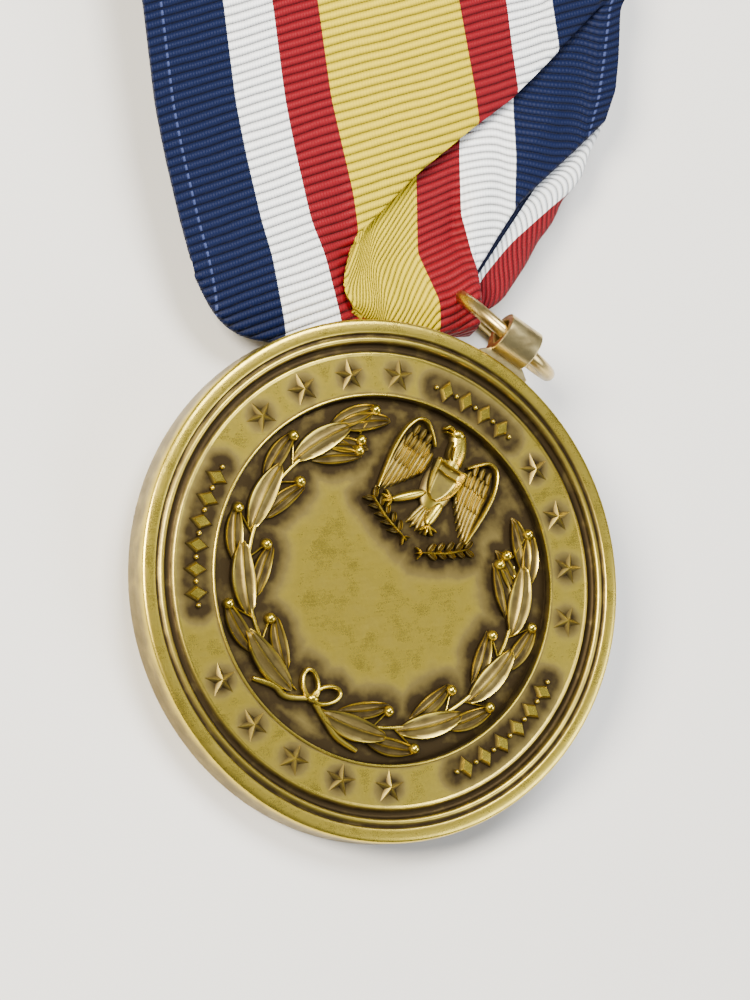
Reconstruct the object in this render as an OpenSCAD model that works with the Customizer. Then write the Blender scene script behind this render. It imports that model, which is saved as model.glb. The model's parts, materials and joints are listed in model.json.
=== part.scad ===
// Military service medal, full size, lying face up.
// A struck bronze disc hangs by a rolled lug and a jump ring from a looped
// ribbon, which a pin-back suspension bar carries at its top.
// +Z is up. +X runs along the bar, and +Y from the ring to the bar.

/* [Disc] */
// diameter of the disc
disc_d = 31.75; // [31:0.25:33]
// thickness of the disc at its rim
disc_t = 2.5; // [2.3:0.1:2.7]
// depth of the round field below the rim
field_depth = 0.75; // [0.6:0.05:0.9]
// height of the stars above their band
star_rise = 0.25; // [0.15:0.05:0.35]
// height of the wreath and the bird above the field
relief_rise = 0.45; // [0.3:0.05:0.55]

/* [Lug and ring] */
// length of the lug's barrel
lug_w = 2.4; // [2.2:0.1:2.6]
// outside radius of the lug's barrel
lug_r = 1.3; // [1.25:0.05:1.35]
// radius of the lug's hole
lug_bore_r = 0.8; // [0.75:0.05:0.85]
// radius of the ring's centre line
ring_r = 3.8; // [3.7:0.05:3.8]
// radius of the ring's wire
wire_r = 0.45; // [0.4:0.05:0.5]

/* [Ribbon] */
// width of the ribbon
ribbon_w = 35; // [34:0.5:36]
// thickness of one ribbon layer
ribbon_t = 0.6; // [0.5:0.05:0.7]

/* [Bar and pin] */
// width of the suspension bar
bar_w = 36.6; // [36.6:0.2:38]
// height of the suspension bar
bar_h = 9; // [8.5:0.5:10]
// thickness of the folded bar
bar_t = 3.2; // [3.1:0.1:3.5]
// sheet thickness of the bar
sheet_t = 0.5; // [0.4:0.05:0.6]
// radius of the pin's wire
pin_r = 0.4; // [0.35:0.05:0.42]

/* [Pose] */
// turn of the disc to the side, as it lies
swing = 38; // [36:1:40]
// tilt of the disc, with its lug raised
lean = 8.5; // [8.3:0.1:8.7]
// tilt of the ring against the table
ring_tilt = 59.5; // [58.5:0.5:59.5]

/* [Hidden] */
$fn = 64;
disc_r = disc_d / 2;
// bevel of the disc's outer edges
bevel = 0.25;
disc_z = (disc_r - bevel) * sin(lean) + disc_t * cos(lean);
// the barrel's centre on the disc's own frame, a little to one side
lug_x = 0.4;
lug_y = disc_r + lug_r + 0.5;
lug_z = -0.35;
// and on the table's frame
lug_s = lug_y * cos(lean) - lug_z * sin(lean);
lug_h = disc_z + lug_y * sin(lean) + lug_z * cos(lean);
barrel = [
    lug_x * cos(swing) + lug_s * sin(swing),
    lug_s * cos(swing) - lug_x * sin(swing),
    lug_h
];
// the ring lies 8 degrees askew in the barrel
ring_turn = swing + 8;
across = [cos(ring_turn), -sin(ring_turn), 0];
inward = [
    cos(ring_tilt) * sin(ring_turn),
    cos(ring_tilt) * cos(ring_turn),
    -sin(ring_tilt)
];
ring_c = barrel + ring_r * inward;
// the point where the ribbon's loop holds the ring
hold = ring_c - ring_r * across;
rib_x = 9.3;
bar_y = 55;
bar_z = 3.6;
pin_y = bar_y + bar_h * 0.6;
pin_z = 1.72;
joint_x = rib_x - 13;
catch_x = rib_x + 13;
band_z = -0.3;
// outer radius of the pin joint's ears and of the catch
ear_r = 1.7;
// the box of the whole part, whose middle is the origin
lean_x = sin(lean) * sin(swing);
lean_y = sin(lean) * cos(swing);
left = bevel * lean_x - disc_r * sqrt(1 - lean_x * lean_x);
near = bevel * lean_y - disc_r * sqrt(1 - lean_y * lean_y);
middle = [(left + rib_x + bar_w / 2) / 2, (near + bar_y + bar_h) / 2, 0];
// sub-part to show

// puts a sub-part in the shared frame, with the origin below the middle
module placed(at) {
    translate(at - middle)
        children();
}

// from the disc's own frame, with +Y to the lug, to the table
module on_disc() {
    placed([0, 0, disc_z])
        rotate([0, 0, -swing])
            rotate([lean, 0, 0])
                children();
}

// a leaf between two arcs, pointing along +Y from its middle
module leaf(long, wide) {
    r = (long * long + wide * wide) / (4 * wide);
    intersection() {
        translate([r - wide / 2, 0])
            circle(r);
        translate([wide / 2 - r, 0])
            circle(r);
    }
}

module star(r) {
    polygon([
        for (i = [0:9])
            let (q = (i % 2 == 0) ? r : r * 0.4)
            [q * sin(36 * i), q * cos(36 * i)]
    ]);
}

// something raised on a level of the disc, at an angle and radius
module raised(angle, radius, level, rise) {
    rotate([0, 0, -angle])
        translate([0, radius, level - 0.2])
            linear_extrude(height = rise + 0.2)
                children();
}

module disc_stars() {
    for (side = [-1, 1])
        for (k = [0:3])
            raised(side * (25.3 + 15 * k), disc_r * 0.789, band_z, star_rise)
                star(1.15);
    for (k = [-2:2])
        raised(180 + 15 * k, disc_r * 0.789, band_z, star_rise)
            star(1.15);
}

// lozenges with a pearl between them, as a plain border
module lozenge_border(middle_angle, pitch, count) {
    first = middle_angle - pitch * (count - 1) / 2;
    for (k = [0:count - 1])
        raised(first + pitch * k, disc_r * 0.782, band_z, star_rise)
            polygon([[0.48, 0], [0, 0.62], [-0.48, 0], [0, -0.62]]);
    for (k = [0:count])
        raised(first + pitch * (k - 0.5), disc_r * 0.782, band_z, star_rise)
            circle(0.16);
}

module wreath_side(side) {
    for (k = [0:4]) {
        a = side * (160 - 26 * k);
        raised(a, 9.5, -field_depth, relief_rise)
            rotate(side * 84)
                leaf(4.4, 1.5);
        raised(a + side * 4, 10.35, -field_depth, relief_rise * 0.7)
            rotate(side * 62)
                leaf(3.1, 1.0);
        raised(a + side * 6, 8.55, -field_depth, relief_rise * 0.7)
            rotate(side * 112)
                leaf(3.1, 1.0);
        raised(a - side * 9, 8.35, -field_depth, relief_rise * 0.8)
            circle(0.36);
    }
}

module wreath_knot() {
    raised(180, 9.5, -field_depth, relief_rise)
        circle(0.75);
    for (side = [-1, 1])
        raised(180 + 6.5 * side, 8.9, -field_depth, relief_rise * 0.8)
            rotate(-40 * side)
                leaf(2.2, 1.1);
}

// a plain bird with raised wings and a blank shield
module bird() {
    raised(0, 7.6, -field_depth, relief_rise * 0.8)
        leaf(6, 2.7);
    raised(0, 8.0, -field_depth, relief_rise)
        leaf(3.2, 2.3);
    raised(0, 10.3, -field_depth, relief_rise)
        circle(0.62);
    for (side = [-1, 1]) {
        raised(side * 15.5, 8.1, -field_depth, relief_rise * 0.9)
            rotate(side * 10)
                leaf(6.6, 2.4);
        raised(side * 12, 5.1, -field_depth, relief_rise * 0.8)
            rotate(side * 62)
                leaf(3.2, 0.8);
    }
}

module medal_disc() {
    r = disc_r;
    color([0.72, 0.6, 0.3])
        on_disc()
            union() {
                rotate_extrude()
                    polygon([
                        [0, -disc_t],
                        [r * 0.90, -disc_t],
                        [r * 0.91, 0.15 - disc_t],
                        [r * 0.92, -disc_t],
                        [r - bevel, -disc_t],
                        [r, bevel - disc_t],
                        [r, -bevel],
                        [r - bevel, 0],
                        [r * 0.949, 0],
                        [r * 0.943, -0.42],
                        [r * 0.932, -0.42],
                        [r * 0.922, -0.2],
                        [r * 0.912, -0.42],
                        [r * 0.881, -0.55],
                        [r * 0.872, -0.22],
                        [r * 0.866, band_z],
                        [r * 0.714, band_z],
                        [r * 0.708, -0.2],
                        [r * 0.699, -field_depth],
                        [0, -field_depth]
                    ]);
                disc_stars();
                lozenge_border(0, 6.6, 4);
                lozenge_border(109, 6.6, 6);
                lozenge_border(-109, 6.6, 6);
                wreath_side(1);
                wreath_side(-1);
                wreath_knot();
                bird();
            }
}

// a tab on the rim whose strip is rolled forward into a barrel
module suspension_lug() {
    foot = disc_r - 0.12;
    tab_top = -0.25;
    color([0.78, 0.68, 0.36])
        on_disc()
            translate([lug_x, 0, 0])
                difference() {
                    union() {
                        translate([-lug_w / 2, lug_y, lug_z])
                            rotate([0, 90, 0])
                                cylinder(r = lug_r, h = lug_w);
                        translate([0, 0, tab_top - 1.3])
                            linear_extrude(height = 1.3)
                                polygon([
                                    [-1.9, foot],
                                    [1.9, foot],
                                    [lug_w / 2, foot + 0.7],
                                    [lug_w / 2, lug_y],
                                    [-lug_w / 2, lug_y],
                                    [-lug_w / 2, foot + 0.7]
                                ]);
                    }
                    translate([-lug_w, lug_y, lug_z])
                        rotate([0, 90, 0])
                            cylinder(r = lug_bore_r, h = 2 * lug_w);
                    // the strip's free end stops short of the tab
                    translate([-lug_w, lug_y - 1.5, tab_top])
                        cube([2 * lug_w, 0.8, 0.14]);
                }
}

module ring_frame() {
    placed(ring_c)
        rotate([0, 0, -ring_turn])
            rotate([-ring_tilt, 0, 0])
                children();
}

module jump_ring() {
    color([0.85, 0.72, 0.4])
        ring_frame()
            rotate_extrude()
                translate([ring_r, 0])
                    circle(wire_r);
}

// a sheet seen from the side, as levels along Y, kept to an outline
module layer(outline, levels) {
    n = len(levels);
    intersection() {
        linear_extrude(height = 12)
            polygon(outline);
        translate([-40, 0, 0])
            rotate([90, 0, 90])
                linear_extrude(height = 100)
                    polygon(concat(
                        [for (p = levels) [p[0], p[1] - ribbon_t / 2]],
                        [for (i = [1:n]) levels[n - i] + [0, ribbon_t / 2]]
                    ));
    }
}

// one loop of ribbon: the front layer, the gather that holds the
// ring, and the rear layer, both ends together in the bar
module ribbon() {
    l = rib_x - ribbon_w / 2;
    r = rib_x + ribbon_w / 2;
    end = bar_y + bar_h - 1.2;
    hx = hold[0];
    hy = hold[1];
    gather_z = 1.9;
    gather_h = 3.3;
    left_side = [[l, end], [l, 19.8], [l + 2.2, 16.3], [4.2, 16.5]];
    color([0.9, 0.8, 0.25])
        placed([0, 0, 0])
            union() {
                // front layer
                layer(
                    concat(left_side, [
                        [hx - 1.9, hy - 1.6], [hx - 2.2, hy + 1.4],
                        [hx, hy + 2.4], [hx + 2.6, hy + 2], [18.4, 23.4],
                        [23.6, 30], [r, 38], [r, end]
                    ]),
                    [[14, 3.0], [22, 3.5], [42, 5.2], [end, 5.4]]
                );
                // rear layer, whose right side shows past the front
                layer(
                    concat(left_side, [
                        [hx - 1.9, hy - 1.6], [hx - 2.2, hy + 1.4],
                        [hx + 0.2, hy + 2.4], [hx + 2.1, hy + 1],
                        [hx + 6.6, hy + 3.4], [18.6, 22.4], [23.9, 28.8],
                        [r - 0.8, 38], [r - 0.8, end]
                    ]),
                    [[14, 2.5], [17, 2.2], [32, 2.6], [42, 4.4], [end, 4.75]]
                );
                translate([hx, hy, gather_z])
                    difference() {
                        cylinder(r = 2.6, h = gather_h);
                        translate([0, 0, -1])
                            cylinder(r = 1.95, h = gather_h + 2);
                        translate([-1.2, 0.4, -1])
                            cube([2.4, 4, gather_h + 2]);
                    }
            }
}

// folded sheet, open below, crimped over the ribbon's ends
module brooch_bar() {
    color([0.8, 0.7, 0.42])
        placed([rib_x - bar_w / 2, bar_y, bar_z])
            difference() {
                cube([bar_w, bar_h, bar_t]);
                translate([sheet_t, -1, sheet_t])
                    cube([
                        bar_w - 2 * sheet_t,
                        bar_h + 1 - sheet_t,
                        bar_t - 2 * sheet_t
                    ]);
            }
}

// two ears on a foot, soldered to the bar's back
module pin_joint() {
    color([0.8, 0.7, 0.42])
        placed([joint_x, pin_y, pin_z])
            difference() {
                union() {
                    translate([-ear_r, -1.35, bar_z - pin_z - 0.6])
                        cube([3.8, 2.7, 0.6]);
                    for (side = [-1, 1])
                        translate([0, side * 0.95, 0])
                            rotate([90, 0, 0])
                                linear_extrude(height = 0.7, center = true)
                                    union() {
                                        circle(ear_r);
                                        translate([-ear_r, 0])
                                            square([2 * ear_r, bar_z - pin_z - 0.3]);
                                    }
                }
                rotate([90, 0, 0])
                    cylinder(r = 0.43, h = 6, center = true);
            }
}

module pin_rivet() {
    color([0.75, 0.66, 0.4])
        placed([joint_x, pin_y, pin_z])
            rotate([90, 0, 0])
                union() {
                    cylinder(r = 0.45, h = 2.7, center = true);
                    for (side = [-1, 1])
                        translate([0, 0, side * 1.45])
                            cylinder(r = 0.75, h = 0.3, center = true);
                }
}

module pin_stem() {
    reach = catch_x - joint_x + 1.0;
    color([0.82, 0.76, 0.55])
        placed([joint_x, pin_y, pin_z])
            difference() {
                union() {
                    rotate([90, 0, 0])
                        cylinder(r = 1.05, h = 1.0, center = true);
                    rotate([0, 90, 0])
                        cylinder(r = pin_r, h = reach);
                    translate([reach, 0, 0])
                        rotate([0, 90, 0])
                            cylinder(r1 = pin_r, r2 = 0.06, h = 2.6);
                }
                rotate([90, 0, 0])
                    cylinder(r = 0.5, h = 3, center = true);
            }
}

// a curled strip with an inner groove, open on the side away from the bar
module catch_base() {
    color([0.8, 0.7, 0.42])
        placed([catch_x, pin_y, pin_z])
            difference() {
                union() {
                    rotate([0, 90, 0])
                        cylinder(r = ear_r, h = 1.6, center = true);
                    translate([-1.5, -1.3, bar_z - pin_z - 0.5])
                        cube([3, 2.6, 0.5]);
                }
                rotate([0, 90, 0])
                    cylinder(r = 1.05, h = 4, center = true);
                rotate([0, 90, 0])
                    cylinder(r = 1.4, h = 0.8, center = true);
                translate([-2, -0.6, -3])
                    cube([4, 1.2, 3]);
            }
}

// a slotted collar with a thumb lever, turning in the groove
module catch_rotor() {
    color([0.84, 0.74, 0.45])
        placed([catch_x, pin_y, pin_z])
            difference() {
                union() {
                    rotate([0, 90, 0])
                        cylinder(r = 1.33, h = 0.7, center = true);
                    rotate([0, 90, 0])
                        cylinder(r = 0.98, h = 1.5);
                    translate([1.0, -2.1, -0.45])
                        cube([0.5, 2.1, 0.9]);
                }
                rotate([0, 90, 0])
                    cylinder(r = 0.58, h = 5, center = true);
                translate([-2, -0.58, -3])
                    cube([4, 1.16, 3]);
            }
}

medal_disc();
suspension_lug();
jump_ring();
ribbon();
brooch_bar();
pin_joint();
pin_rivet();
pin_stem();
catch_base();
catch_rotor();
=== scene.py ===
import json
import logging
import math
from dataclasses import dataclass, field
from enum import Enum
from typing import Sequence

import bmesh
import bpy
import numpy as np
from mathutils import Matrix, Vector


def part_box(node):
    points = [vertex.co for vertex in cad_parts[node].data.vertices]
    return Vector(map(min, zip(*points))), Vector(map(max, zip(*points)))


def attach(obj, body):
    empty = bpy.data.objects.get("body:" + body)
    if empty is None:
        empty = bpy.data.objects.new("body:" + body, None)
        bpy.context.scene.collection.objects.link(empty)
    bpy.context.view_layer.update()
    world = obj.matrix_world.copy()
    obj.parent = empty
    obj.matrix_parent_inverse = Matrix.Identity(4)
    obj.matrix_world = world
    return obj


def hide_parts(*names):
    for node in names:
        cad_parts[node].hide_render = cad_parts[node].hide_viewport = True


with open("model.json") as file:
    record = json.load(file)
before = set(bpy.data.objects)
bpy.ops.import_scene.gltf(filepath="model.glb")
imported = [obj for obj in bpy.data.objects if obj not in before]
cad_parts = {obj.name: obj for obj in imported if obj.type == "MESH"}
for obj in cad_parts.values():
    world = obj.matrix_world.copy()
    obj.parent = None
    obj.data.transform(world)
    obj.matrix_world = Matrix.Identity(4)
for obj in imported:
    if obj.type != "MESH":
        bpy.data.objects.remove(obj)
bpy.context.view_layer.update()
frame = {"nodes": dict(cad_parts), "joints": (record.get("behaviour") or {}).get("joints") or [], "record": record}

MM = 0.001
LOG = logging.getLogger("service_medal")

Array = np.ndarray
Point = tuple[float, float, float]
Socket = bpy.types.NodeSocket


# ---------------------------------------------------------------- helpers


def linear(hex_colour: str) -> tuple[float, float, float, float]:
    """Turn an sRGB hex colour linear.

    Args:
        hex_colour: Six hex digits, with or without a leading #.

    Returns:
        Red, green, blue and an alpha of one.
    """
    digits = hex_colour.lstrip("#")
    values = [int(digits[k : k + 2], 16) / 255 for k in (0, 2, 4)]
    flat = [v / 12.92 if v <= 0.04045 else ((v + 0.055) / 1.055) ** 2.4 for v in values]
    return (flat[0], flat[1], flat[2], 1.0)


def per_mm(size: float) -> float:
    """Noise scale that gives features of this size in millimetres."""
    return 1000.0 / size


def add_node(
    tree: bpy.types.NodeTree,
    kind: str,
    settings: dict[str, object] | None = None,
    inputs: dict[str | int, object] | None = None,
) -> bpy.types.Node:
    """Add one node with its settings and links.

    Args:
        tree: The node tree that gets the node.
        kind: The node's Blender type.
        settings: Node properties by name.
        inputs: Values or sockets to link, by input name or number.

    Returns:
        The new node.
    """
    node = tree.nodes.new(kind)
    for name, value in (settings or {}).items():
        setattr(node, name, value)
    for key, value in (inputs or {}).items():
        if isinstance(value, bpy.types.NodeSocket):
            tree.links.new(value, node.inputs[key])
        else:
            node.inputs[key].default_value = value
    return node


def math_node(tree: bpy.types.NodeTree, operation: str, *values: object) -> Socket:
    """Add a Math node and return its result."""
    inputs = dict(enumerate(values))
    return add_node(tree, "ShaderNodeMath", {"operation": operation}, inputs).outputs[0]


def noise(
    tree: bpy.types.NodeTree, place: Socket, scale: float, detail: float, roughness: float = 0.5
) -> Socket:
    """Add a noise texture.

    Args:
        tree: The material's tree.
        place: Coordinates that it is read at.
        scale: Its scale.
        detail: Its number of finer octaves.
        roughness: How strong the finer octaves are.

    Returns:
        The noise, about 0 to 1.
    """
    inputs = {"Vector": place, "Scale": scale, "Detail": detail, "Roughness": roughness}
    return add_node(tree, "ShaderNodeTexNoise", {}, inputs).outputs["Fac"]


def bump(
    tree: bpy.types.NodeTree, strength: float, deep_mm: float, height: Socket
) -> bpy.types.Node:
    """Add a Bump node.

    Args:
        tree: The material's tree.
        strength: How much of the bump shows, 0 to 1.
        deep_mm: Depth in millimetres of a height of one.
        height: The height.

    Returns:
        The node.
    """
    inputs = {"Strength": strength, "Distance": deep_mm * MM, "Height": height}
    return add_node(tree, "ShaderNodeBump", {}, inputs)


def smoothstep(low: float, high: float, x: Array) -> Array:
    """Smooth rise from 0 at low to 1 at high."""
    t = np.clip((x - low) / (high - low), 0, 1)
    return t * t * (3 - 2 * t)


def grid_quads(rows: int, columns: int, wrap_rows: bool, wrap_columns: bool) -> Array:
    """Corner numbers of a grid's quads.

    Args:
        rows: Number of point rows.
        columns: Points in each row.
        wrap_rows: Whether the last row joins the first.
        wrap_columns: Whether each row's last point joins its first.

    Returns:
        One row of four corner numbers for each quad.
    """
    r = np.arange(rows if wrap_rows else rows - 1)
    c = np.arange(columns if wrap_columns else columns - 1)
    i, j = np.meshgrid(r, c, indexing="ij")
    i2, j2 = (i + 1) % rows, (j + 1) % columns
    quads = np.stack(
        [i * columns + j, i * columns + j2, i2 * columns + j2, i2 * columns + j], axis=-1
    )
    return quads.reshape(-1, 4)


@dataclass
class Shell:
    """Corners, faces and values gathered for one mesh, in millimetres."""

    corners: list[Array] = field(default_factory=list)
    faces: list[list[int]] = field(default_factory=list)
    patina: list[Array] = field(default_factory=list)
    cloth: list[Array] = field(default_factory=list)
    count: int = 0

    def add(
        self,
        corners: Array,
        faces: Sequence[Sequence[int]],
        patina: Array | float = 0.0,
        cloth: Array | None = None,
    ) -> None:
        """Add one closed island.

        Args:
            corners: Its points.
            faces: Its faces, by point number.
            patina: How dark each point is, 0 polished to 1 blackened.
            cloth: Place on the flat cloth of each point, across and along.
        """
        corners = np.asarray(corners, float).reshape(-1, 3)
        self.corners.append(corners)
        self.faces.extend([[int(k) + self.count for k in face] for face in faces])
        self.patina.append(np.broadcast_to(np.asarray(patina, float), (len(corners),)))
        self.cloth.append(np.zeros((len(corners), 2)) if cloth is None else cloth)
        self.count += len(corners)

    def loft(
        self,
        sections: Array,
        patina: Array | float = 0.0,
        closed: bool = False,
        cloth: Array | None = None,
    ) -> None:
        """Add a skin over a row of closed loops, capped at both ends.

        Args:
            sections: Loops of points, one row for each loop.
            patina: Darkness, one value for each point.
            closed: Whether the last loop joins the first.
            cloth: Cloth place of each point.
        """
        rows, columns = sections.shape[:2]
        faces = grid_quads(rows, columns, closed, True).tolist()
        if not closed:
            last = (rows - 1) * columns
            faces.append(list(range(columns))[::-1])
            faces.append([last + k for k in range(columns)])
        flat = None if cloth is None else cloth.reshape(-1, 2)
        values = patina if np.isscalar(patina) else np.asarray(patina).reshape(-1)
        self.add(sections.reshape(-1, 3), faces, values, flat)

    def build(
        self,
        name: str,
        place: Matrix,
        material: bpy.types.Material,
        smooth: bool = True,
        crease: float = 40.0,
    ) -> bpy.types.Object:
        """Make the mesh object, at the origin, in metres.

        Args:
            name: The piece's name.
            place: Takes the millimetre points to the row frame.
            material: The piece's finish.
            smooth: Whether faces are shaded smooth.
            crease: Angle in degrees past which an edge stays sharp.

        Returns:
            The new object.
        """
        mesh = bpy.data.meshes.new(name)
        corners = np.concatenate(self.corners)
        mesh.from_pydata(corners.tolist(), [], self.faces)
        value = mesh.attributes.new("patina", "FLOAT", "POINT")
        value.data.foreach_set("value", np.concatenate(self.patina).astype(np.float32))
        cloth = np.concatenate(self.cloth)
        if np.any(cloth):
            layer = mesh.uv_layers.new(name="cloth")
            loops = np.empty(len(mesh.loops), np.int32)
            mesh.loops.foreach_get("vertex_index", loops)
            layer.data.foreach_set("uv", cloth[loops].astype(np.float32).ravel())
        mesh.transform(place)
        turn_outward(mesh)
        mesh.materials.append(material)
        if smooth:
            mesh.shade_smooth()
            mesh.set_sharp_from_angle(angle=math.radians(crease))
        piece = bpy.data.objects.new(name, mesh)
        bpy.context.scene.collection.objects.link(piece)
        return piece


def turn_outward(mesh: bpy.types.Mesh) -> None:
    """Turn every closed island's faces outward.

    Args:
        mesh: The mesh, changed in place.
    """
    work = bmesh.new()
    work.from_mesh(mesh)
    bmesh.ops.recalc_face_normals(work, faces=work.faces)
    work.to_mesh(mesh)
    work.free()


def bake_nodes(
    source: bpy.types.Object,
    tree: bpy.types.NodeTree,
    values: dict[str, object],
    name: str,
    place: Matrix,
    smooth: bool,
) -> bpy.types.Object:
    """Run a geometry tree on an object and keep the result as a plain mesh.

    Args:
        source: The object that the tree starts from; it is removed.
        tree: The geometry tree.
        values: Values of the tree's named inputs.
        name: The finished piece's name.
        place: Takes the tree's millimetres to the row frame.
        smooth: Whether the piece is shaded smooth.

    Returns:
        The finished piece.
    """
    modifier = source.modifiers.new(tree.name, "NODES")
    modifier.node_group = tree
    sockets = {
        item.name: item.identifier
        for item in tree.interface.items_tree
        if item.item_type == "SOCKET" and item.in_out == "INPUT"
    }
    for label, value in values.items():
        modifier[sockets[label]] = value
    bpy.context.view_layer.update()
    graph = bpy.context.evaluated_depsgraph_get()
    mesh = bpy.data.meshes.new_from_object(source.evaluated_get(graph))
    source.modifiers.remove(modifier)
    bpy.data.objects.remove(source)
    mesh.name = name
    mesh.transform(place)
    if smooth:
        mesh.shade_smooth()
        mesh.set_sharp_from_angle(angle=math.radians(50))
    piece = bpy.data.objects.new(name, mesh)
    bpy.context.scene.collection.objects.link(piece)
    return piece


def point_object(name: str, points: Sequence[Point]) -> bpy.types.Object:
    """An object that holds loose points for a geometry tree to start from.

    Args:
        name: The object's name.
        points: The points, in the tree's units.

    Returns:
        The object.
    """
    mesh = bpy.data.meshes.new(name)
    mesh.from_pydata([tuple(p) for p in points], [], [])
    carrier = bpy.data.objects.new(name, mesh)
    bpy.context.scene.collection.objects.link(carrier)
    return carrier


@dataclass(frozen=True)
class DiscFrame:
    """Where the disc lies: its front face's centre and its three directions."""

    centre: Vector
    side: Vector
    up: Vector
    out: Vector

    @classmethod
    def from_record(cls, record: dict, thickness: float) -> "DiscFrame":
        """Work the disc's frame out from the record's mount and joint.

        Args:
            record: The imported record.
            thickness: The disc's thickness in metres.

        Returns:
            The disc's frame.
        """
        back = next(m for m in record["mounts"] if m["name"] == "disc_back")
        tilt = next(j for j in record["behaviour"]["joints"] if j["name"] == "medal_tilt")
        out = -Vector(back["axis"]).normalized()
        side = -Vector(tilt["axis"]).normalized()
        side = (side - out * side.dot(out)).normalized()
        centre = Vector(back["pos_m"]) + out * thickness
        return cls(centre, side, out.cross(side), out)

    def place(self) -> Matrix:
        """Takes millimetres on the disc to metres in the row frame."""
        turn = Matrix((self.side, self.up, self.out)).transposed().to_4x4()
        return Matrix.Translation(self.centre) @ turn @ Matrix.Scale(MM, 4)

    def local(self, point: Sequence[float]) -> Vector:
        """A row frame point in millimetres on the disc."""
        return self.place().inverted() @ Vector(point)


# --------------------------------------------------------------- finishes


def principled(name: str) -> tuple[bpy.types.Material, bpy.types.NodeTree, bpy.types.Node]:
    """Start a material and return it, its tree and its Principled shader.

    Args:
        name: The material's name.

    Returns:
        The material, its tree and its Principled shader.
    """
    material = bpy.data.materials.new(name)
    material.use_nodes = True
    tree = material.node_tree
    return material, tree, tree.nodes["Principled BSDF"]


@dataclass(frozen=True)
class AntiquedBronze:
    """Struck bronze, blackened by liver of sulphur and relieved by hand.

    The dip turns every surface umber; a buff then brings the high places back
    to a soft yellow, so colour follows how deep a place lies.
    """

    polished: str = "#D4BB49"
    rubbed: str = "#857440"
    dark: str = "#352B1B"
    blotch_mm: float = 1.1
    grain_mm: float = 0.09

    def build(self) -> bpy.types.Material:
        """Build the material; each mesh carries the patina attribute.

        Returns:
            The material.
        """
        material, tree, shader = principled("antiqued_struck_bronze")
        place = add_node(tree, "ShaderNodeTexCoord").outputs["Object"]
        depth = add_node(tree, "ShaderNodeAttribute", {"attribute_name": "patina"}).outputs["Fac"]
        blotch = noise(tree, place, per_mm(self.blotch_mm), 2.0, 0.5)
        speckle = noise(tree, place, per_mm(0.22), 3.0, 0.6)
        drift = math_node(tree, "MULTIPLY_ADD", blotch, 0.55, -0.275)
        fleck = math_node(tree, "MULTIPLY_ADD", speckle, 0.1, -0.05)
        stain = math_node(tree, "ADD", depth, math_node(tree, "ADD", drift, fleck))
        ramp = add_node(tree, "ShaderNodeValToRGB", {}, {"Fac": stain})
        stops = ramp.color_ramp.elements
        stops[0].position, stops[0].color = 0.0, linear(self.polished)
        stops[1].position, stops[1].color = 0.95, linear(self.dark)
        middle = stops.new(0.45)
        middle.color = linear(self.rubbed)
        grain = noise(tree, place, per_mm(self.grain_mm), 5.0, 0.7)
        # fine buffing hairlines that run one way across the face
        hair_place = add_node(
            tree,
            "ShaderNodeMapping",
            {},
            {"Vector": place, "Rotation": (0.1, 0.2, 0.65), "Scale": (1.0, 14.0, 1.0)},
        ).outputs["Vector"]
        hair = noise(tree, hair_place, per_mm(1.6), 3.0, 0.6)
        rough = math_node(tree, "MULTIPLY_ADD", stain, 0.26, 0.29)
        rough = math_node(tree, "ADD", rough, math_node(tree, "MULTIPLY_ADD", grain, 0.16, -0.08))
        rough = math_node(tree, "ADD", rough, math_node(tree, "MULTIPLY_ADD", hair, 0.06, -0.03))
        lumps = bump(tree, 0.14, 0.03, speckle)
        ridges = math_node(tree, "MULTIPLY_ADD", hair, 0.35, grain)
        fine = bump(tree, 0.16, 0.012, ridges)
        tree.links.new(lumps.outputs["Normal"], fine.inputs["Normal"])
        add_links(
            tree,
            shader,
            {
                "Base Color": ramp.outputs["Color"],
                "Roughness": rough,
                "Metallic": 1.0,
                "Normal": fine.outputs["Normal"],
            },
        )
        return material


def add_links(tree: bpy.types.NodeTree, node: bpy.types.Node, inputs: dict[str, object]) -> None:
    """Set or link several inputs of a node that is already there.

    Args:
        tree: The node's tree.
        node: The node.
        inputs: Values or sockets, by input name.
    """
    for key, value in inputs.items():
        if isinstance(value, bpy.types.NodeSocket):
            tree.links.new(value, node.inputs[key])
        else:
            node.inputs[key].default_value = value


@dataclass(frozen=True)
class Brass:
    """Brass part left as rolled, drawn or pressed, with its own toning.

    Thumb oil and air leave brown clouds on it; the tool that made it leaves
    fine lines, which a stretched noise gives.
    """

    name: str
    clean: str
    toned: str
    roughness: float
    toning: float
    line_mm: float
    stretch: tuple[float, float, float] = (1.0, 1.0, 1.0)

    def build(self) -> bpy.types.Material:
        """Build the material on object coordinates.

        Returns:
            The material.
        """
        material, tree, shader = principled(self.name)
        place = add_node(tree, "ShaderNodeTexCoord").outputs["Object"]
        cloud = noise(tree, place, per_mm(1.4), 4.0, 0.6)
        stretched = add_node(
            tree, "ShaderNodeMapping", {}, {"Vector": place, "Scale": self.stretch}
        ).outputs["Vector"]
        lines = noise(tree, stretched, per_mm(self.line_mm), 4.0)
        ramp = add_node(tree, "ShaderNodeValToRGB", {}, {"Fac": cloud})
        stops = ramp.color_ramp.elements
        stops[0].position, stops[0].color = 0.62 - 0.3 * self.toning, linear(self.clean)
        stops[1].position, stops[1].color = 0.9 - 0.25 * self.toning, linear(self.toned)
        rough = math_node(tree, "MULTIPLY_ADD", lines, 0.16, self.roughness - 0.08)
        fine = bump(tree, 0.12, 0.01, lines)
        add_links(
            tree,
            shader,
            {
                "Base Color": ramp.outputs["Color"],
                "Roughness": math_node(tree, "MULTIPLY_ADD", cloud, 0.12, rough),
                "Metallic": 1.0,
                "Normal": fine.outputs["Normal"],
            },
        )
        return material


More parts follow.
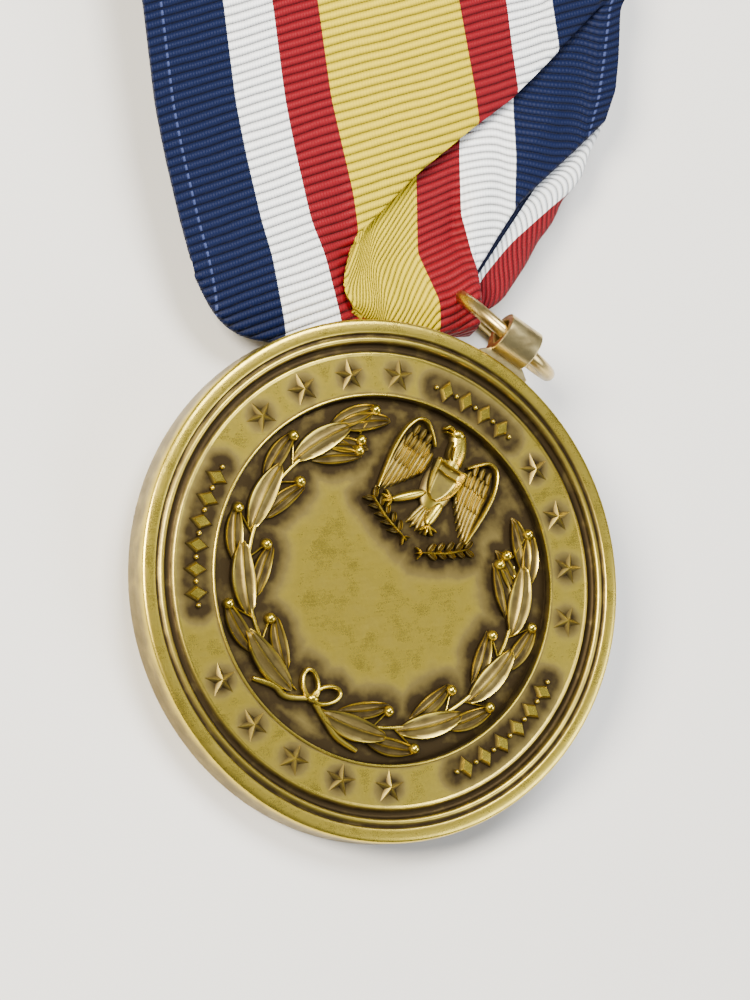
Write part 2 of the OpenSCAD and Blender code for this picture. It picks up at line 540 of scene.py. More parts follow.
class Stripe(Enum):
    """Colours of the ribbon's warp, as dyed rayon."""

    NAVY = "#030F33"
    WHITE = "#F6F8F8"
    RED = "#760513"
    YELLOW = "#CDB600"


@dataclass(frozen=True)
class Grosgrain:
    """Rayon grosgrain: a fine warp packed over thick cross threads.

    The thick weft makes ribs across the ribbon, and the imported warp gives
    them a soft gloss and each stripe its clean colour.
    """

    width_mm: float = 35.0
    rib_mm: float = 0.54
    stripes: tuple[tuple[float, Stripe], ...] = (
        (5.4, Stripe.NAVY),
        (3.4, Stripe.WHITE),
        (3.1, Stripe.RED),
        (10.0, Stripe.YELLOW),
        (3.45, Stripe.RED),
        (3.7, Stripe.WHITE),
        (5.95, Stripe.NAVY),
    )

    def build(self) -> bpy.types.Material:
        """Build the material on the cloth UV map, in ribbon widths.

        Returns:
            The material.
        """
        material, tree, shader = principled("rayon_grosgrain")
        cloth = add_node(tree, "ShaderNodeUVMap", {"uv_map": "cloth"}).outputs["UV"]
        split = add_node(tree, "ShaderNodeSeparateXYZ", {}, {"Vector": cloth})
        across, along = split.outputs["X"], split.outputs["Y"]
        wobble = noise(tree, cloth, 9.0, 2.0)
        along = math_node(tree, "MULTIPLY_ADD", wobble, 0.006, along)
        turns = math_node(tree, "MULTIPLY", along, math.pi * self.width_mm / self.rib_mm)
        wave = math_node(tree, "ABSOLUTE", math_node(tree, "SINE", turns))
        rib = math_node(tree, "POWER", wave, 0.65)
        # warp ends lie about 0.13 mm apart; drawn at 0.2 mm so that they show
        ends = math_node(tree, "MULTIPLY", across, 2 * math.pi * self.width_mm / 0.2)
        thread = math_node(tree, "SINE", ends)
        fray = math_node(tree, "MULTIPLY_ADD", thread, 0.0006, across)
        ramp = add_node(tree, "ShaderNodeValToRGB", {}, {"Fac": fray})
        ramp.color_ramp.interpolation = "CONSTANT"
        edge = 0.0
        for k, (width, stripe) in enumerate(self.stripes):
            stops = ramp.color_ramp.elements
            stop = stops[0] if k == 0 else stops[1] if k == 1 else stops.new(edge)
            stop.position = edge
            stop.color = linear(stripe.value)
            edge += width / self.width_mm
        uneven = noise(tree, cloth, 60.0, 4.0, 0.7)
        # painted shade: the stripe colour is darkened in the grooves between the ribs and between the warp
        # threads, and lighter on the rib tops; uneven adds random tone to the weave
        shade = math_node(tree, "MULTIPLY_ADD", rib, 0.62, 0.36)
        shade = math_node(tree, "MULTIPLY_ADD", thread, 0.05, shade)
        shade = math_node(tree, "MULTIPLY_ADD", uneven, 0.2, shade)
        shade = math_node(tree, "SUBTRACT", shade, 0.1)
        colour = add_node(
            tree,
            "ShaderNodeMix",
            {"data_type": "RGBA", "blend_type": "MULTIPLY"},
            {0: 1.0, 6: ramp.outputs["Color"], 7: shade},
        ).outputs[2]
        # the woven edge's catch thread shows as a row of pale stitches
        from_edge = math_node(
            tree,
            "SUBTRACT",
            0.5,
            math_node(tree, "ABSOLUTE", math_node(tree, "SUBTRACT", across, 0.5)),
        )
        near = math_node(tree, "COMPARE", from_edge, 1.15 / self.width_mm, 0.08 / self.width_mm)
        stitch = math_node(tree, "MULTIPLY", near, math_node(tree, "GREATER_THAN", rib, 0.72))
        colour = add_node(
            tree,
            "ShaderNodeMix",
            {"data_type": "RGBA"},
            {0: math_node(tree, "MULTIPLY", stitch, 0.3), 6: colour, 7: linear("#5F6DA6")},
        ).outputs[2]
        height = math_node(tree, "MULTIPLY_ADD", thread, 0.06, rib)
        height = math_node(tree, "MULTIPLY_ADD", uneven, 0.18, height)
        fine = bump(tree, 1.0, 0.16, height)
        add_links(
            tree,
            shader,
            {
                "Base Color": colour,
                "Roughness": math_node(tree, "MULTIPLY_ADD", rib, -0.12, 0.68),
                "Normal": fine.outputs["Normal"],
                "Sheen Weight": 0.02,
                "Sheen Roughness": 0.35,
                "Specular IOR Level": 0.16,
            },
        )
        return material


# ------------------------------------------------------------ the medal


class Section(Enum):
    """Cross-sections of a raised line or leaf."""

    DOME = "dome"
    HOLLOW_LEAF = "hollow leaf"
    PLUMP_LEAF = "plump leaf"
    FEATHER = "feather"
    PLATE = "plate"


def section_shape(kind: Section, v: Array) -> tuple[Array, Array]:
    """Height and darkness across a raised line.

    Args:
        kind: The cross-section.
        v: Place across it, -1 to 1.

    Returns:
        Height from 0 to about 1, and patina from 0 to 1.
    """
    a = np.abs(v)
    rib = np.exp(-((v / 0.11) ** 2))
    rim = np.exp(-(((a - 0.84) / 0.13) ** 2))
    if kind is Section.HOLLOW_LEAF:
        height = 0.4 + 0.52 * rim + 0.45 * rib
        return height, np.clip(0.86 - 0.95 * rim - 0.85 * rib + 0.5 * (a > 0.97), 0, 1)
    if kind is Section.PLUMP_LEAF:
        height = 0.5 + 0.2 * (1 - v * v) + 0.34 * rim + 0.3 * rib
        return height, np.clip(0.74 - 0.6 * rib - 0.8 * rim + 0.6 * (a > 0.97), 0, 1)
    if kind is Section.FEATHER:
        height = 0.82 * np.sqrt(1 - 0.85 * v * v) + 0.2 * rib
        return height, np.clip(0.35 + 0.45 * a - 0.55 * rib, 0, 1)
    if kind is Section.PLATE:
        return 0.74 + 0.26 * rim, np.clip(0.35 - 0.4 * rim, 0, 1) + 0.2 * (a > 0.95)
    return np.sqrt(1 - 0.92 * v * v), 0.85 * smoothstep(0.55, 1.0, a)


@dataclass
class Relief(Shell):
    """Raised work struck on a flat ground, as closed overlapping ridges."""

    ground: float = -0.75
    prints: list[Array] = field(default_factory=list)

    def ridge(
        self,
        path: Array,
        half_widths: Array,
        heights: Array,
        kind: Section = Section.DOME,
        columns: int = 13,
        darker: float = 0.0,
    ) -> None:
        """Add one ridge along a path.

        Args:
            path: Points on the ground, one row each.
            half_widths: Half its width at each point.
            heights: Its height over the ground at each point.
            kind: Its cross-section.
            columns: Points across its top.
            darker: Patina added all over it.
        """
        path = np.asarray(path, float)
        run = np.gradient(path, axis=0)
        run /= np.maximum(np.linalg.norm(run, axis=1, keepdims=True), 1e-9)
        normal = np.stack([run[:, 1], -run[:, 0]], axis=1)
        v = np.linspace(-1, 1, columns)
        level, dark = section_shape(kind, v)
        w = np.broadcast_to(half_widths, (len(path),)).astype(float)
        h = np.broadcast_to(heights, (len(path),)).astype(float)
        flat = path[:, None, :] + normal[:, None, :] * (w[:, None] * v)[..., None]
        top = self.ground + h[:, None] * level
        sunk = np.full((len(path), 2), self.ground - 0.16)
        loop_xy = np.concatenate([flat, flat[:, [-1]], flat[:, [0]]], axis=1)
        loop_z = np.concatenate([top, sunk], axis=1)[..., None]
        tail = np.ones((len(path), 2))
        shade = np.concatenate([np.broadcast_to(dark, top.shape), tail], axis=1)
        tips = 1 - smoothstep(0.0, 0.3, w / max(w.max(), 1e-6))
        shade = np.clip(shade + darker - 0.4 * tips[:, None], 0, 1)
        self.loft(np.concatenate([loop_xy, loop_z], axis=2), shade)
        self.prints.append(np.column_stack([path, w])[:: max(1, len(path) // 14)])

    def line(
        self,
        points: Sequence[tuple[float, float]],
        half_width: float,
        height: float,
        kind: Section = Section.DOME,
        taper: float = 0.3,
        steps: int = 22,
        columns: int = 9,
        darker: float = 0.0,
    ) -> None:
        """Add a ridge through a few points, thinner at both ends.

        Args:
            points: Points that it runs through.
            half_width: Half its width at the middle.
            height: Its height at the middle.
            kind: Its cross-section.
            taper: Share of its width left at the ends.
            steps: Points along it.
            columns: Points across its top.
            darker: Patina added all over it.
        """
        path = through(points, steps)
        u = np.linspace(0, 1, steps)
        thin = taper + (1 - taper) * np.sqrt(np.clip(4 * u * (1 - u), 0, 1))
        self.ridge(path, half_width * thin, height * (0.6 + 0.4 * thin), kind, columns, darker)

    def leaf(
        self,
        root: tuple[float, float],
        tip: tuple[float, float],
        half_width: float,
        height: float,
        bend: float = 0.0,
        kind: Section = Section.HOLLOW_LEAF,
        blunt: float = 0.72,
        darker: float = 0.0,
        steps: int = 34,
    ) -> None:
        """Add a pointed leaf, or a feather, from its root to its tip.

        Args:
            root: Where it starts.
            tip: Where it ends.
            half_width: Half its greatest width.
            height: Its greatest height.
            bend: How far it bows, as a share of its length.
            kind: Its cross-section.
            blunt: Below 1 makes its outline fuller.
            darker: Patina added all over it.
            steps: Points along it.
        """
        a, b = np.array(root), np.array(tip)
        side = np.array([(b - a)[1], -(b - a)[0]])
        u = np.linspace(0.004, 0.996, steps)
        path = a + (b - a) * u[:, None] + side * (bend * 4 * u * (1 - u))[:, None]
        wide = np.sin(np.pi * u**0.92) ** blunt
        tall = np.clip(np.sin(np.pi * u) * 3.2, 0.12, 1) * (0.8 + 0.2 * u)
        self.ridge(path, half_width * wide + 0.008, height * tall, kind, 17, darker)

    def boss(
        self, centre: tuple[float, float], rx: float, ry: float, height: float, turn: float = 0.0,
        kind: Section = Section.DOME, darker: float = 0.0,
    ) -> None:
        """Add a low oval mound.

        Args:
            centre: Its middle.
            rx: Half its length.
            ry: Half its width.
            height: Its height.
            turn: Turn of its length in degrees.
            kind: Its cross-section.
            darker: Patina added all over it.
        """
        s = np.sin(np.linspace(-np.pi / 2, np.pi / 2, 19)) * 0.995
        way = np.array([math.cos(math.radians(turn)), math.sin(math.radians(turn))])
        path = np.array(centre) + way * (rx * s)[:, None]
        swell = np.sqrt(1 - s * s)
        self.ridge(path, ry * swell + 0.004, height * (0.25 + 0.75 * swell), kind, 13, darker)


def through(points: Sequence[tuple[float, float]], steps: int) -> Array:
    """A smooth path through a few points.

    Args:
        points: The points, in order.
        steps: Points on the path.

    Returns:
        The path, one point in each row.
    """
    p = np.asarray(points, float)
    if len(p) == 2:
        return p[0] + (p[1] - p[0]) * np.linspace(0, 1, steps)[:, None]
    p = np.vstack([2 * p[0] - p[1], p, 2 * p[-1] - p[-2]])
    t = np.linspace(0, len(p) - 3 - 1e-9, steps)
    k = t.astype(int)
    f = (t - k)[:, None]
    a, b, c, d = p[k], p[k + 1], p[k + 2], p[k + 3]
    return 0.5 * (
        2 * b + (c - a) * f + (2 * a - 5 * b + 4 * c - d) * f**2 + (3 * b - a - 3 * c + d) * f**3
    )


def polar(radius: float, degrees: float) -> tuple[float, float]:
    """A point at this radius, the angle going clockwise from the top."""
    a = math.radians(degrees)
    return radius * math.sin(a), radius * math.cos(a)


@dataclass
class Wreath:
    """Two laurel branches tied with a bow, in millimetres on the disc."""

    ground: float = -0.75
    spread: float = 32.4
    starts: tuple[float, float] = (153.0, 163.5)
    tips: tuple[float, float] = (34.0, 43.0)
    berry_radius: float = 0.38

    def sprays(self, side: int) -> list[float]:
        """Angles of the leaf groups on one branch, from the bow up."""
        start = self.starts[0 if side < 0 else 1]
        return [start - self.spread * k for k in range(4)]

    def grow(self, relief: Relief, side: int) -> list[Point]:
        """Add one branch and return where its berries sit.

        Args:
            relief: Gets the leaves and stems.
            side: -1 for the left branch, 1 for the right.

        Returns:
            Each berry's centre.
        """
        berries: list[Point] = []
        tip = self.tips[0 if side < 0 else 1]
        bottom = self.sprays(side)[0] + 16
        stem = [polar(8.95, side * a) for a in np.linspace(bottom, tip + 10, 12)]
        relief.line(stem, 0.15, 0.26, steps=80, columns=7)
        for a in self.sprays(side):
            self.spear(relief, side, 7.9, a - 3, 3.5, 0.56, 0.4, -17, Section.HOLLOW_LEAF)
            self.spear(relief, side, 9.95, a - 15, 3.6, 0.6, 0.4, 13, Section.HOLLOW_LEAF)
            self.spear(relief, side, 9.05, a, 4.7, 0.8, 0.52, 5, Section.PLUMP_LEAF)
            for radius, turn in ((7.95, -14.5), (10.35, -23.5)):
                x, y = polar(radius, side * (a + turn))
                berries.append((x, y, self.ground))
                foot = polar(8.95, side * (a + turn + 7))
                relief.line([foot, (x, y)], 0.07, 0.2, taper=0.8, steps=6, columns=5)
        self.spear(relief, side, 9.5, tip + 3, 3.7, 0.62, 0.42, 2, Section.HOLLOW_LEAF)
        self.spear(relief, side, 8.35, tip + 13, 3.2, 0.5, 0.4, -20, Section.HOLLOW_LEAF)
        x, y = polar(8.55, side * (tip + 5.5))
        berries.append((x, y, self.ground))
        return berries

    def spear(
        self, relief: Relief, side: int, radius: float, angle: float, length: float,
        half_width: float, height: float, turn: float, kind: Section,
    ) -> None:
        """Add one leaf that points up its branch, turned outward by turn.

        Args:
            relief: Gets the leaf.
            side: -1 for the left branch, 1 for the right.
            radius: Distance of its middle from the disc's centre.
            angle: Bearing of its middle from the top.
            length: Its length.
            half_width: Half its width.
            height: Its height.
            turn: Turn outward from the branch, in degrees.
            kind: Its cross-section.
        """
        x, y = polar(radius, side * angle)
        outward = np.array(polar(1.0, side * angle))
        along = np.array([-side * outward[1], side * outward[0]])
        t = math.radians(turn)
        direction = along * math.cos(t) + outward * math.sin(t)
        root = np.array([x, y]) - direction * length / 2
        tip = np.array([x, y]) + direction * length / 2
        relief.leaf(tuple(root), tuple(tip), half_width, height, side * 0.045, kind)

    def bow(self, relief: Relief) -> None:
        """Add the ribbon bow that ties the branches.

        Args:
            relief: Gets the bow.
        """
        knot = (-0.6, -8.72)
        relief.line([knot, (-2.1, -9.45), (-3.1, -9.3), (-4.5, -9.62)], 0.24, 0.34, taper=0.7)
        relief.line([knot, (0.7, -9.35), (1.9, -9.9), (3.4, -9.98)], 0.24, 0.34, taper=0.7)
        for reach, lean in ((1.75, 128), (1.85, 42)):
            way = np.array([math.cos(math.radians(lean)), math.sin(math.radians(lean))])
            across = np.array([-way[1], way[0]])
            turn = np.linspace(0.12, 2 * np.pi - 0.12, 40)
            loop = (
                np.array(knot)
                + way * (reach * 0.5 * (1 - np.cos(turn)))[:, None]
                + across * (0.5 * np.sin(turn))[:, None]
            )
            relief.ridge(loop, 0.17, 0.46, Section.DOME, 9)
        relief.boss(knot, 0.42, 0.34, 0.58, 20)


@dataclass
class Bird:
    """A plain bird of prey with raised wings behind a blank shield."""

    ground: float = -0.75

    def carve(self, relief: Relief) -> None:
        """Add the bird to the disc's relief.

        Args:
            relief: Gets the bird.
        """
        self.wing(relief, -1)
        self.wing(relief, 1)
        self.tail(relief)
        self.body(relief)
        self.legs(relief)
        self.sprig(relief, (1.35, 2.75), (3.95, 4.6), 1)
        self.sprig(relief, (-0.25, 2.95), (-3.2, 4.05), -1)

    def wing(self, relief: Relief, side: int) -> None:
        """Add one raised wing: long feathers, coverts and leading edge.

        Args:
            relief: Gets the wing.
            side: -1 for the left wing, 1 for the right.
        """
        middle = 0.2
        edge = [(1.25, 8.9), (1.75, 9.45), (2.45, 9.98), (3.1, 9.75), (3.52, 8.7), (3.6, 7.4)]
        edge += [(3.5, 6.0), (3.35, 4.7)]
        outline = [(middle + side * x, y) for x, y in edge]
        for k in range(8):
            f = k / 7
            root = (middle + side * (3.2 - 2.0 * f), 8.6 + 0.25 * math.sin(3 * f))
            tip = (middle + side * (3.42 - 2.0 * f), 4.45 + 2.3 * f**1.3)
            relief.leaf(
                root, tip, 0.25, 0.36 + 0.02 * k, side * 0.03, Section.FEATHER, 0.5, steps=30
            )
        for row, (y, length, count) in enumerate(((8.1, 1.5, 6), (9.0, 1.25, 5), (9.6, 0.95, 3))):
            for k in range(count):
                f = (k + 0.5) / count
                x = 3.25 - (1.95 - 0.25 * row) * f - 0.12 * row
                top = (middle + side * x, y)
                low = (middle + side * (x + 0.12), y - length)
                relief.leaf(
                    top, low, 0.21, 0.46 + 0.05 * row, side * 0.04, Section.FEATHER, 0.5, steps=20
                )
        relief.line(outline, 0.16, 0.56, taper=0.55, steps=60, columns=9)

    def tail(self, relief: Relief) -> None:
        """Add the short fan of tail feathers.

        Args:
            relief: Gets the tail.
        """
        for k in range(5):
            a = math.radians(-24 + 12 * k)
            tip = (0.35 + 1.9 * math.sin(a), 5.6 - 1.9 * math.cos(a))
            relief.leaf((0.35, 6.0), tip, 0.24, 0.34, 0.0, Section.FEATHER, 0.5, steps=20)

    def body(self, relief: Relief) -> None:
        """Add the breast, neck, head, beak and the blank shield.

        Args:
            relief: Gets the body.
        """
        relief.boss((0.35, 7.0), 1.9, 1.15, 0.5, 90, darker=0.15)
        relief.line([(0.45, 8.0), (0.5, 9.2), (0.2, 10.0), (-0.1, 10.4)], 0.62, 0.62, taper=0.75)
        for k in range(5):
            x = -0.02 + 0.22 * k
            relief.leaf(
                (x - 0.2, 9.95 - 0.05 * k), (x + 0.1, 8.5), 0.13, 0.72, 0.05, Section.FEATHER,
                0.6, steps=18,
            )
        relief.boss((-0.1, 10.35), 0.5, 0.4, 0.74, 10)
        relief.line([(-0.35, 10.45), (-0.85, 10.47), (-1.08, 10.2)], 0.17, 0.62, taper=0.35)
        relief.line([(-0.45, 10.2), (-0.9, 10.12)], 0.09, 0.5, taper=0.5, steps=8, columns=7)
        relief.boss((-0.22, 10.43), 0.09, 0.09, 0.86)
        drop = np.linspace(0, 1, 34)
        path = np.column_stack([0.44 + 0.05 * drop - 0.32 * drop**2, 8.42 - 2.55 * drop])
        half = 1.08 * np.sqrt(np.clip(1 - drop**2.6, 0, 1)) + 0.02
        relief.ridge(path, half, 0.72 + 0.1 * np.sin(np.pi * drop), Section.PLATE, 25)
        relief.line([(-0.62, 8.32), (0.4, 8.22), (1.5, 8.34)], 0.13, 0.9, taper=0.8)
        relief.line([(-0.6, 7.72), (0.4, 7.62), (1.48, 7.74)], 0.07, 0.88, taper=0.8)

    def legs(self, relief: Relief) -> None:
        """Add the feathered thighs and the claws.

        Args:
            relief: Gets the legs.
        """
        relief.line([(-0.3, 6.1), (-1.1, 5.35), (-1.95, 4.55)], 0.33, 0.56, taper=0.45)
        relief.line([(0.95, 6.0), (0.85, 5.3), (0.75, 4.4)], 0.42, 0.58, taper=0.5)
        for x, y, way in ((-2.0, 4.5, 205.0), (0.8, 4.35, -60.0)):
            for k in range(4):
                a = math.radians(way + 38 * (k - 1.5))
                tip = (x + 0.75 * math.cos(a), y + 0.6 * math.sin(a))
                relief.line([(x, y), tip], 0.12, 0.56, taper=0.4, steps=8, columns=7)

    def sprig(
        self, relief: Relief, foot: tuple[float, float], tip: tuple[float, float], side: int
    ) -> None:
        """Add a small leafy twig held in one claw.

        Args:
            relief: Gets the twig.
            foot: Its cut end.
            tip: Its far end.
            side: 1 or -1, the way that it bows.
        """
        a, b = np.array(foot), np.array(tip)
        run = b - a
        lift = np.array([-run[1], run[0]]) * side
        middle = tuple(a + run * 0.5 - lift * 0.05)
        relief.line([foot, middle, tip], 0.1, 0.5, steps=20, columns=7)
        for k in range(5):
            root = a + run * (0.12 + 0.2 * k)
            for hand in (-1, 1):
                end = root + run * 0.17 + lift * (0.17 * hand)
                relief.leaf(tuple(root), tuple(end), 0.17, 0.5, 0.0, Section.PLUMP_LEAF, steps=14)
        for k in range(3):
            end = a - run * 0.12 + lift * (0.12 * (k - 1))
            relief.line([foot, tuple(end)], 0.07, 0.4, steps=6, columns=5)


@dataclass
class Medal:
    """The struck disc with its borders, stars, wreath, bird and lug."""

    radius: float = 15.875
    thickness: float = 2.5
    ground: float = -0.75
    band: float = -0.3
    star_circle: float = 12.52
    star_radius: float = 1.12
    star_height: float = 0.34
    border_circle: float = 12.42
    lug_width: float = 2.4
    roll_outer: float = 1.3
    roll_inner: float = 0.82
    turns: int = 384
    lie: DiscFrame | None = None
    bronze: bpy.types.Material | None = None
    lug_brass: bpy.types.Material | None = None
    prints: list[Array] = field(default_factory=list)

    def make(self, lie: DiscFrame, bronze: bpy.types.Material, lug: bpy.types.Material) -> None:
        """Build every piece and let it ride on the medal.

        Args:
            lie: Where the disc lies.
            bronze: Finish of the disc.
            lug: Finish of the lug.
        """
        self.lie, self.bronze, self.lug_brass = lie, bronze, lug
        pieces = self.relief_pieces() + self.stars() + self.borders()
        body = self.disc_body()
        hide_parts("medal_disc")
        for piece in [body] + pieces:
            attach(piece, "medal")
        strip = self.lug()
        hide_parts("suspension_lug")
        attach(strip, "medal")

    def relief_pieces(self) -> list[bpy.types.Object]:
        """Build the wreath's two branches, the bow, the bird and the berries.

        Returns:
            The five pieces.
        """
        wreath = Wreath(self.ground)
        berries: list[Point] = []
        made = []
        for side, name in ((-1, "wreath_left"), (1, "wreath_right")):
            relief = Relief(ground=self.ground)
            berries += wreath.grow(relief, side)
            self.prints += relief.prints
            made.append(relief.build(name, self.lie.place(), self.bronze))
        relief = Relief(ground=self.ground)
        wreath.bow(relief)
        self.prints += relief.prints
        made.append(relief.build("wreath_bow", self.lie.place(), self.bronze))
        relief = Relief(ground=self.ground)
        Bird(self.ground).carve(relief)
        self.prints += relief.prints
        made.append(relief.build("bird", self.lie.place(), self.bronze))
        made.append(
            bake_nodes(
                point_object("berry_points", berries),
                berry_tree(),
                {"Radius": wreath.berry_radius, "Finish": self.bronze},
                "wreath_berries",
                self.lie.place(),
                True,
            )
        )
        self.prints += [np.array([[x, y, wreath.berry_radius]]) for x, y, _ in berries]
        return made

    def star_rows(self) -> list[tuple[str, float, float, int, float]]:
        """Each row of stars: name, first angle, pitch, count and turn.

        Returns:
            One entry for each row, its angles in degrees.
        """
        return [
            ("stars_left", -70.3, 15.0, 4, 0.0),
            ("stars_right", 25.3, 15.0, 4, 0.0),
            ("stars_bottom", 150.0, 15.0, 5, 180.0),
        ]

    def stars(self) -> list[bpy.types.Object]:
        """Build the thirteen stars.

        Returns:
            One piece for each row.
        """
        tree = star_tree()
        made = []
        for name, first, pitch, count, turn in self.star_rows():
            values = {
                "First angle": math.radians(first),
                "Pitch": math.radians(pitch),
                "Count": count,
                "Circle": self.star_circle,
                "Ground": self.band,
                "Turn": math.radians(turn),
                "Star radius": self.star_radius,
                "Height": self.star_height,
                "Finish": self.bronze,
            }
            carrier = point_object(name + "_carrier", [(0, 0, 0)])
            made.append(bake_nodes(carrier, tree, values, name, self.lie.place(), False))
            for k in range(count):
                x, y = polar(self.star_circle, first + pitch * k)
                self.prints.append(np.array([[x, y, 0.36 * self.star_radius]]))
        return made

    def borders(self) -> list[bpy.types.Object]:
        """Build the borders of lozenges and pearls between the rows of stars.

        Returns:
            The three borders.
        """
        tree = border_tree()
        made = []
        for name, middle, count in (
            ("border_top", 0.0, 4), ("border_left", -109.0, 6), ("border_right", 109.0, 6)
        ):
            pitch = 6.6
            first = middle - pitch * (count - 1) / 2
            values = {
                "First angle": math.radians(first),
                "Pitch": math.radians(pitch),
                "Count": count,
                "Circle": self.border_circle,
                "Ground": self.band,
                "Half length": 0.8,
                "Half width": 0.54,
                "Pearl radius": 0.17,
                "Height": 0.3,
                "Finish": self.bronze,
            }
            carrier = point_object(name + "_carrier", [(0, 0, 0)])
            made.append(bake_nodes(carrier, tree, values, name, self.lie.place(), False))
            for k in range(2 * count + 1):
                x, y = polar(self.border_circle, first + pitch * (k - 1) / 2)
                self.prints.append(np.array([[x, y, 0.6]]))
        return made

    def profile(self) -> Array:
        """The disc's turned section: radius, level and patina, front to back.

        Returns:
            One row of three values for each point.
        """
        rows: list[tuple[float, float, float]] = []
        rows += [(r, self.ground, 0.0) for r in np.append(0.02, np.arange(0.25, 10.8, 0.22))]
        rows += [(10.92, self.ground, 0.9), (11.05, self.ground - 0.03, 1.0)]
        rows += [(11.13, self.ground + 0.1, 0.9), (11.17, self.band + 0.02, 0.5)]
        rows += [(11.2, self.band + 0.09, 0.0), (11.26, self.band + 0.1, 0.0)]
        rows += [(11.32, self.band + 0.07, 0.1), (11.36, self.band, 0.55)]
        rows += [(r, self.band, 0.0) for r in np.arange(11.5, 13.62, 0.15)]
        rows += [(13.66, self.band, 0.15), (13.71, self.band + 0.05, 0.0)]
        rows += [(13.78, self.band + 0.06, 0.0), (13.85, self.band + 0.02, 0.3)]
        rows += [(13.93, self.band - 0.1, 0.8), (14.02, self.band - 0.17, 1.0)]
        rows += [(14.16, self.band - 0.2, 1.0), (14.3, self.band - 0.17, 1.0)]
        rows += [(14.38, self.band - 0.06, 0.9), (14.43, -0.16, 0.6), (14.5, -0.06, 0.25)]
        rows += [(14.58, -0.02, 0.15), (14.68, -0.03, 0.2), (14.76, -0.09, 0.5)]
        rows += [(14.84, -0.17, 0.95), (14.92, -0.17, 0.95), (14.98, -0.1, 0.7)]
        rows += [(15.03, -0.02, 0.25), (15.08, 0.0, 0.05), (15.3, 0.0, 0.0), (15.52, 0.0, 0.0)]
        rows += [(15.68, -0.02, 0.0), (15.78, -0.07, 0.0), (15.845, -0.15, 0.0)]
        rows += [(15.875, -0.26, 0.1), (15.875, -0.8, 0.42), (15.875, -1.4, 0.5)]
        rows += [(15.875, -2.2, 0.5), (15.86, -2.33, 0.3), (15.8, -2.43, 0.1)]
        rows += [(15.7, -2.49, 0.0), (15.55, -2.5, 0.05)]
        rows += [(r, -self.thickness, 0.22) for r in (15.0, 14.0, 12.0, 9.0, 6.0, 3.0, 1.0, 0.02)]
        return np.array(rows)

    def disc_body(self) -> bpy.types.Object:
        """Build the turned disc, darkened round everything raised on it.

        Returns:
            The disc.
        """
        rows = self.profile()
        a = np.arange(self.turns) * 2 * np.pi / self.turns
        r, z, dark = rows[:, 0], rows[:, 1], rows[:, 2]
        x, y = r[:, None] * np.sin(a), r[:, None] * np.cos(a)
        points = np.stack([x, y, np.broadcast_to(z[:, None], x.shape)], axis=-1)
        front = int(np.argmax(r > 13.9))
        flat = points[:front, :, :2].reshape(-1, 2)
        marks = np.concatenate(self.prints)
        gap = np.full(len(flat), 9.0)
        for part in np.array_split(marks, max(1, len(marks) // 60)):
            reach = np.hypot(
                flat[:, None, 0] - part[None, :, 0], flat[:, None, 1] - part[None, :, 1]
            )
            gap = np.minimum(gap, (reach - part[None, :, 2]).min(axis=1))
        far = np.hypot(flat[:, 0], flat[:, 1])
        bearing = np.degrees(np.arctan2(flat[:, 0], flat[:, 1]))
        on_field = 0.95 * (1 - smoothstep(0.1, 1.9, gap))
        crown = smoothstep(5.6, 7.6, far) * (1 - smoothstep(34, 52, np.abs(bearing)))
        margin = smoothstep(9.6, 10.7, far)
        on_field = np.maximum.reduce([on_field, 0.82 * crown, 0.95 * margin])
        on_band = 0.92 * (1 - smoothstep(0.0, 1.25, gap)) ** 1.3
        stain = np.where(far < 11.1, on_field, on_band).reshape(front, self.turns)
        shade = np.broadcast_to(dark[:, None], x.shape).copy()
        shade[:front] = np.maximum(shade[:front] * 1.0, stain)
        lip = (r > 11.18) & (r < 11.34)
        shade[lip] = dark[lip][:, None]
        shell = Shell()
        shell.loft(points, shade)
        return shell.build("struck_disc", self.lie.place(), self.bronze, crease=46)

    def lug(self) -> bpy.types.Object:
        """Build the strip that is brazed to the rim and rolled forward.

        Returns:
            The lug.
        """
        tilt = next(j for j in frame["joints"] if j["name"] == "medal_tilt")
        bx, by, bz = self.lie.local(tilt["pos_m"])
        w = self.lug_width / 2
        shell = Shell()
        # the roll, from its free end round to where it meets the tab
        turn = np.radians(np.linspace(-128, 192, 64))
        middle = (self.roll_outer + self.roll_inner) / 2
        half = (self.roll_outer - self.roll_inner) / 2
        across = [(-1, -0.75), (-0.96, -0.95), (-0.88, -1), (0.88, -1), (0.96, -0.95), (1, -0.75)]
        loop = across + [(x, -t) for x, t in reversed(across)]
        sections = np.array(
            [
                [
                    (
                        bx + w * x,
                        by + (middle + half * t) * math.cos(a),
                        bz + (middle + half * t) * math.sin(a),
                    )
                    for x, t in loop
                ]
                for a in turn
            ]
        )
        shell.loft(sections)
        # the tab, wider where it is brazed to the rim
        foot = self.radius - 0.25
        rows = []
        for y, half_width, top, low in (
            (foot, 1.9, -0.33, -1.5),
            (foot + 0.32, 1.86, -0.3, -1.52),
            (foot + 0.62, 1.5, -0.3, -1.5),
            (foot + 0.95, w - 0.02, -0.42, -1.48),
            (by - 0.75, w - 0.02, -0.62, -1.44),
            (by - 0.2, w - 0.02, -0.98, -1.5),
        ):
            c = 0.1
            rows.append(
                [
                    (bx + sx * (half_width - cx), y, z)
                    for sx, cx, z in (
                        (-1, c, top), (1, c, top), (1, 0, top - c), (1, 0, low + c),
                        (1, c, low), (-1, c, low), (-1, 0, low + c), (-1, 0, top - c),
                    )
                ]
            )
        shell.loft(np.array(rows))
        return shell.build("rolled_lug", self.lie.place(), self.lug_brass, crease=35)


# --------------------------------------------------------- geometry trees


